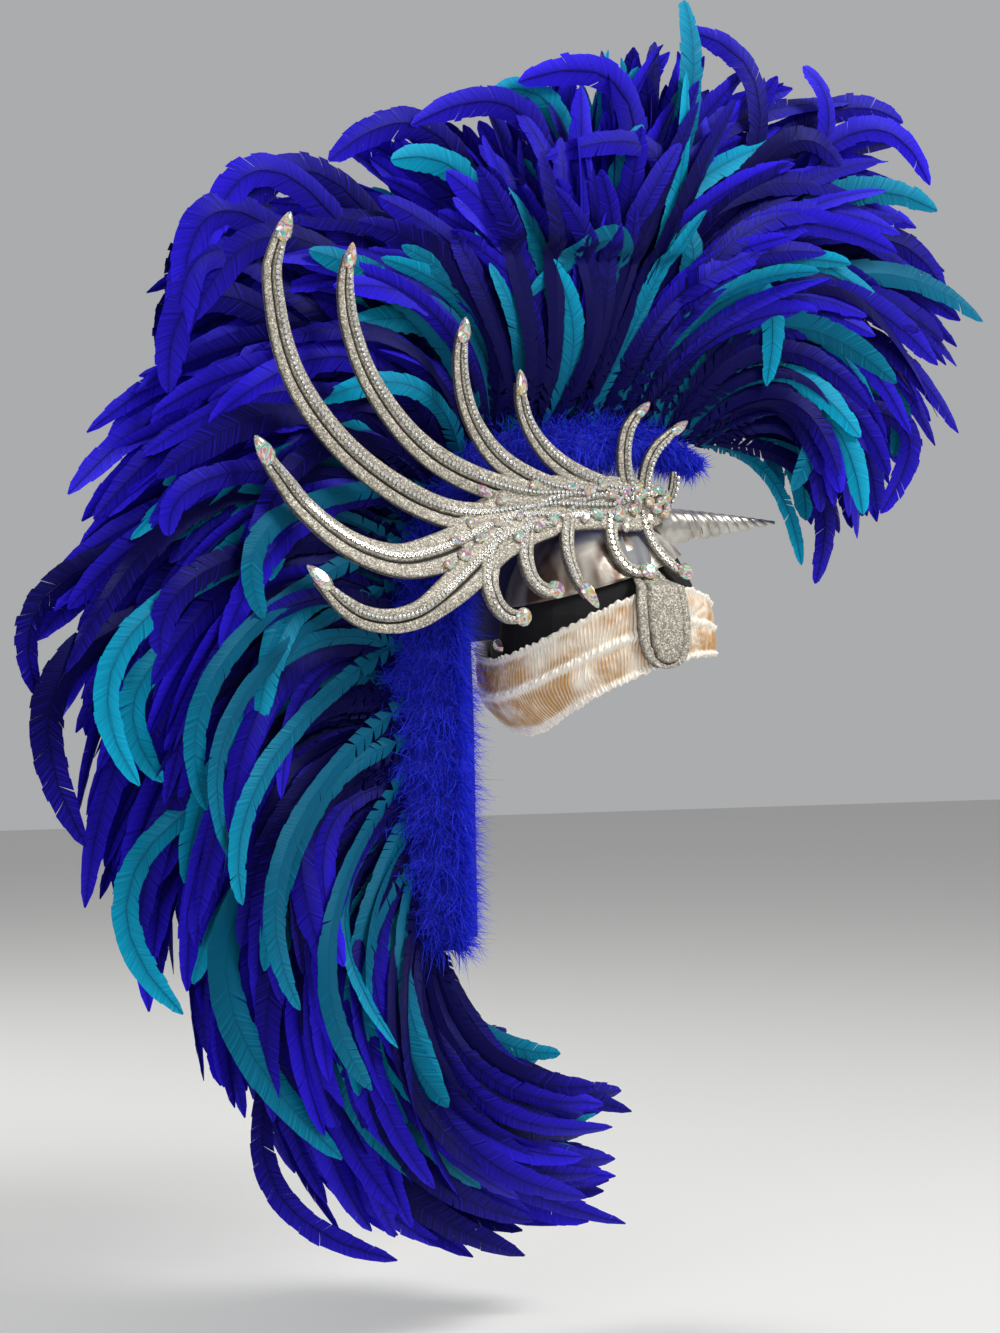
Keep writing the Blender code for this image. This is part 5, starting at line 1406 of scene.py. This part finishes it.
def dyed_feather(name, deep, bright, glow):
    """Dyed cock feather: barbs zipped into a silky vane, glossy along the curve."""
    material, shader = new_material(name, bright, 0.42, Sheen_Weight=0.06, Sheen_Roughness=0.4,
                                    Sheen_Tint=linear(glow), Specular_Tint=linear(glow),
                                    Specular_IOR_Level=0.28)
    # Each feather has its own depth of dye, and is painted darker towards its root as shade
    # inside the mane, so that it pales towards its tip
    root_shade = reckon(material, "MULTIPLY_ADD", marked(material, "span"), 1.15, -1.36)
    own_dye = reckon(material, "MULTIPLY_ADD", marked(material, "shade"), 0.75, root_shade)
    uv = add_node(material, "ShaderNodeUVMap", {"uv_map": "barbs"})
    split = add_node(material, "ShaderNodeSeparateXYZ", None, None, {0: uv.outputs[0]})
    barb = reckon(material, "MULTIPLY", split.outputs[1], 2 * math.pi / BARB_SPACING)
    raise_by(material, shader, reckon(material, "SINE", barb), 0.25, 0.0005)
    streaks = add_node(material, "ShaderNodeTexNoise", {"noise_dimensions": "1D"},
                       {"Scale": 1.0 / DYE_STREAK, "Detail": 3.0}, {"W": split.outputs[1]})
    streaked = reckon(material, "MULTIPLY_ADD", streaks.outputs[0], 0.95, own_dye, clamp=True)
    # The quill shows as a dark line, and the vane pales towards its edges
    paling = reckon(material, "POWER", reckon(material, "ABSOLUTE", split.outputs[0]), 0.30)
    dye = reckon(material, "MULTIPLY", streaked, paling, clamp=True)
    tint_by(material, shader, dye, deep, bright)
    return material


royal_feather = dyed_feather("royal_dyed_cock_feather", "#070438", "#2f1ee8", "#6a6cff")
turquoise_feather = dyed_feather("turquoise_dyed_cock_feather", "#045270", "#0aa8d0", "#6fdcff")


def quill_root(share):
    """Where a quill is bound to the ridge: forward and up."""
    spot, out = ridge_spot(np.array([share]))
    return (spot[0] + out[0] * MARABOU_HALF_HEIGHT * BIND_SHARE)[[0, 2]]


def mane_feather(place, length_share, layer, fullness):
    """One feather of the mane at a place along the locks, in a layer from -1 to 1."""
    share, forward, up, bow = lock_at(place)
    root = quill_root(min(max(share + chance.normal(0, ROOT_STRAY), 0.004), 0.996))
    end = np.array([forward, up]) * MANE_REACH
    end = root + (end - root) * length_share
    end += chance.normal(0, TIP_STRAY, 2)
    bow = bow + chance.normal(0, BOW_STRAY)
    chord = end - root
    knee = (root + end) / 2 + np.array([-chord[1], chord[0]]) * 2 * bow
    depth = MANE_DEPTH * fullness
    middle = depth * np.interp(0.5 * length_share, DEPTH_PLACES, DEPTH_SHARES)
    last = depth * np.interp(length_share, DEPTH_PLACES, DEPTH_SHARES)
    start_side = layer * BIND_DEPTH
    end_side = layer * last + chance.normal(0, SIDE_STRAY)
    middle_side = 2 * layer * middle * MIDDLE_SHARE - 0.5 * (start_side + end_side)
    middle_side += chance.normal(0, MIDDLE_STRAY)
    width = FEATHER_WIDTH * chance.uniform(0.78, 1.18) * (0.62 + 0.38 * length_share)
    return feather((root, knee, end), start_side, middle_side, end_side, width,
                   chance.normal(0, 0.38), chance.normal(0, 0.7), chance.uniform(0.0, 0.5))


def standout_feather(row):
    """A feather that shows by itself, through its named middle and tip."""
    share, middle_x, middle_z, tip_x, tip_z, side, width = row
    root = quill_root(share)
    middle = np.array([middle_x, middle_z]) / 1000
    tip = np.array([tip_x, tip_z]) / 1000
    knee = 2 * middle - (root + tip) / 2
    return feather((root, knee, tip), -0.010, 1.5 * side / 1000, side / 1000, width / 1000,
                   chance.normal(0, 0.15), chance.normal(0, 0.3), chance.uniform(0.1, 0.5))


for name, first_lock, last_lock, fullness, royals, turquoises in MANE_STRETCHES:
    for dye, count, material in (("royal", royals, royal_feather),
                                 ("turquoise", turquoises, turquoise_feather)):
        feathers = []
        for i in range(count):
            place = first_lock + (last_lock - first_lock) * (i + chance.uniform(0, 1)) / count
            layer = chance.uniform(-1, 1)
            length_share = 1.0 - OUTER_SHORTER * abs(layer) ** 1.5 * chance.uniform(0.3, 1.3)
            length_share *= 1.01 - CHANCE_SHORTER * chance.uniform(0, 1) ** 1.3
            if dye == "turquoise":
                length_share *= TURQUOISE_LENGTH
            feathers.append(mane_feather(place, length_share, layer, fullness))
        add_feathers("feathers_" + name + "_" + dye, feathers, material,
                     [name] if dye == "royal" else ())
for dye, material in (("royal", royal_feather), ("turquoise", turquoise_feather)):
    add_feathers("feathers_standout_" + dye, [standout_feather(row) for row in STANDOUTS[dye]],
                 material)
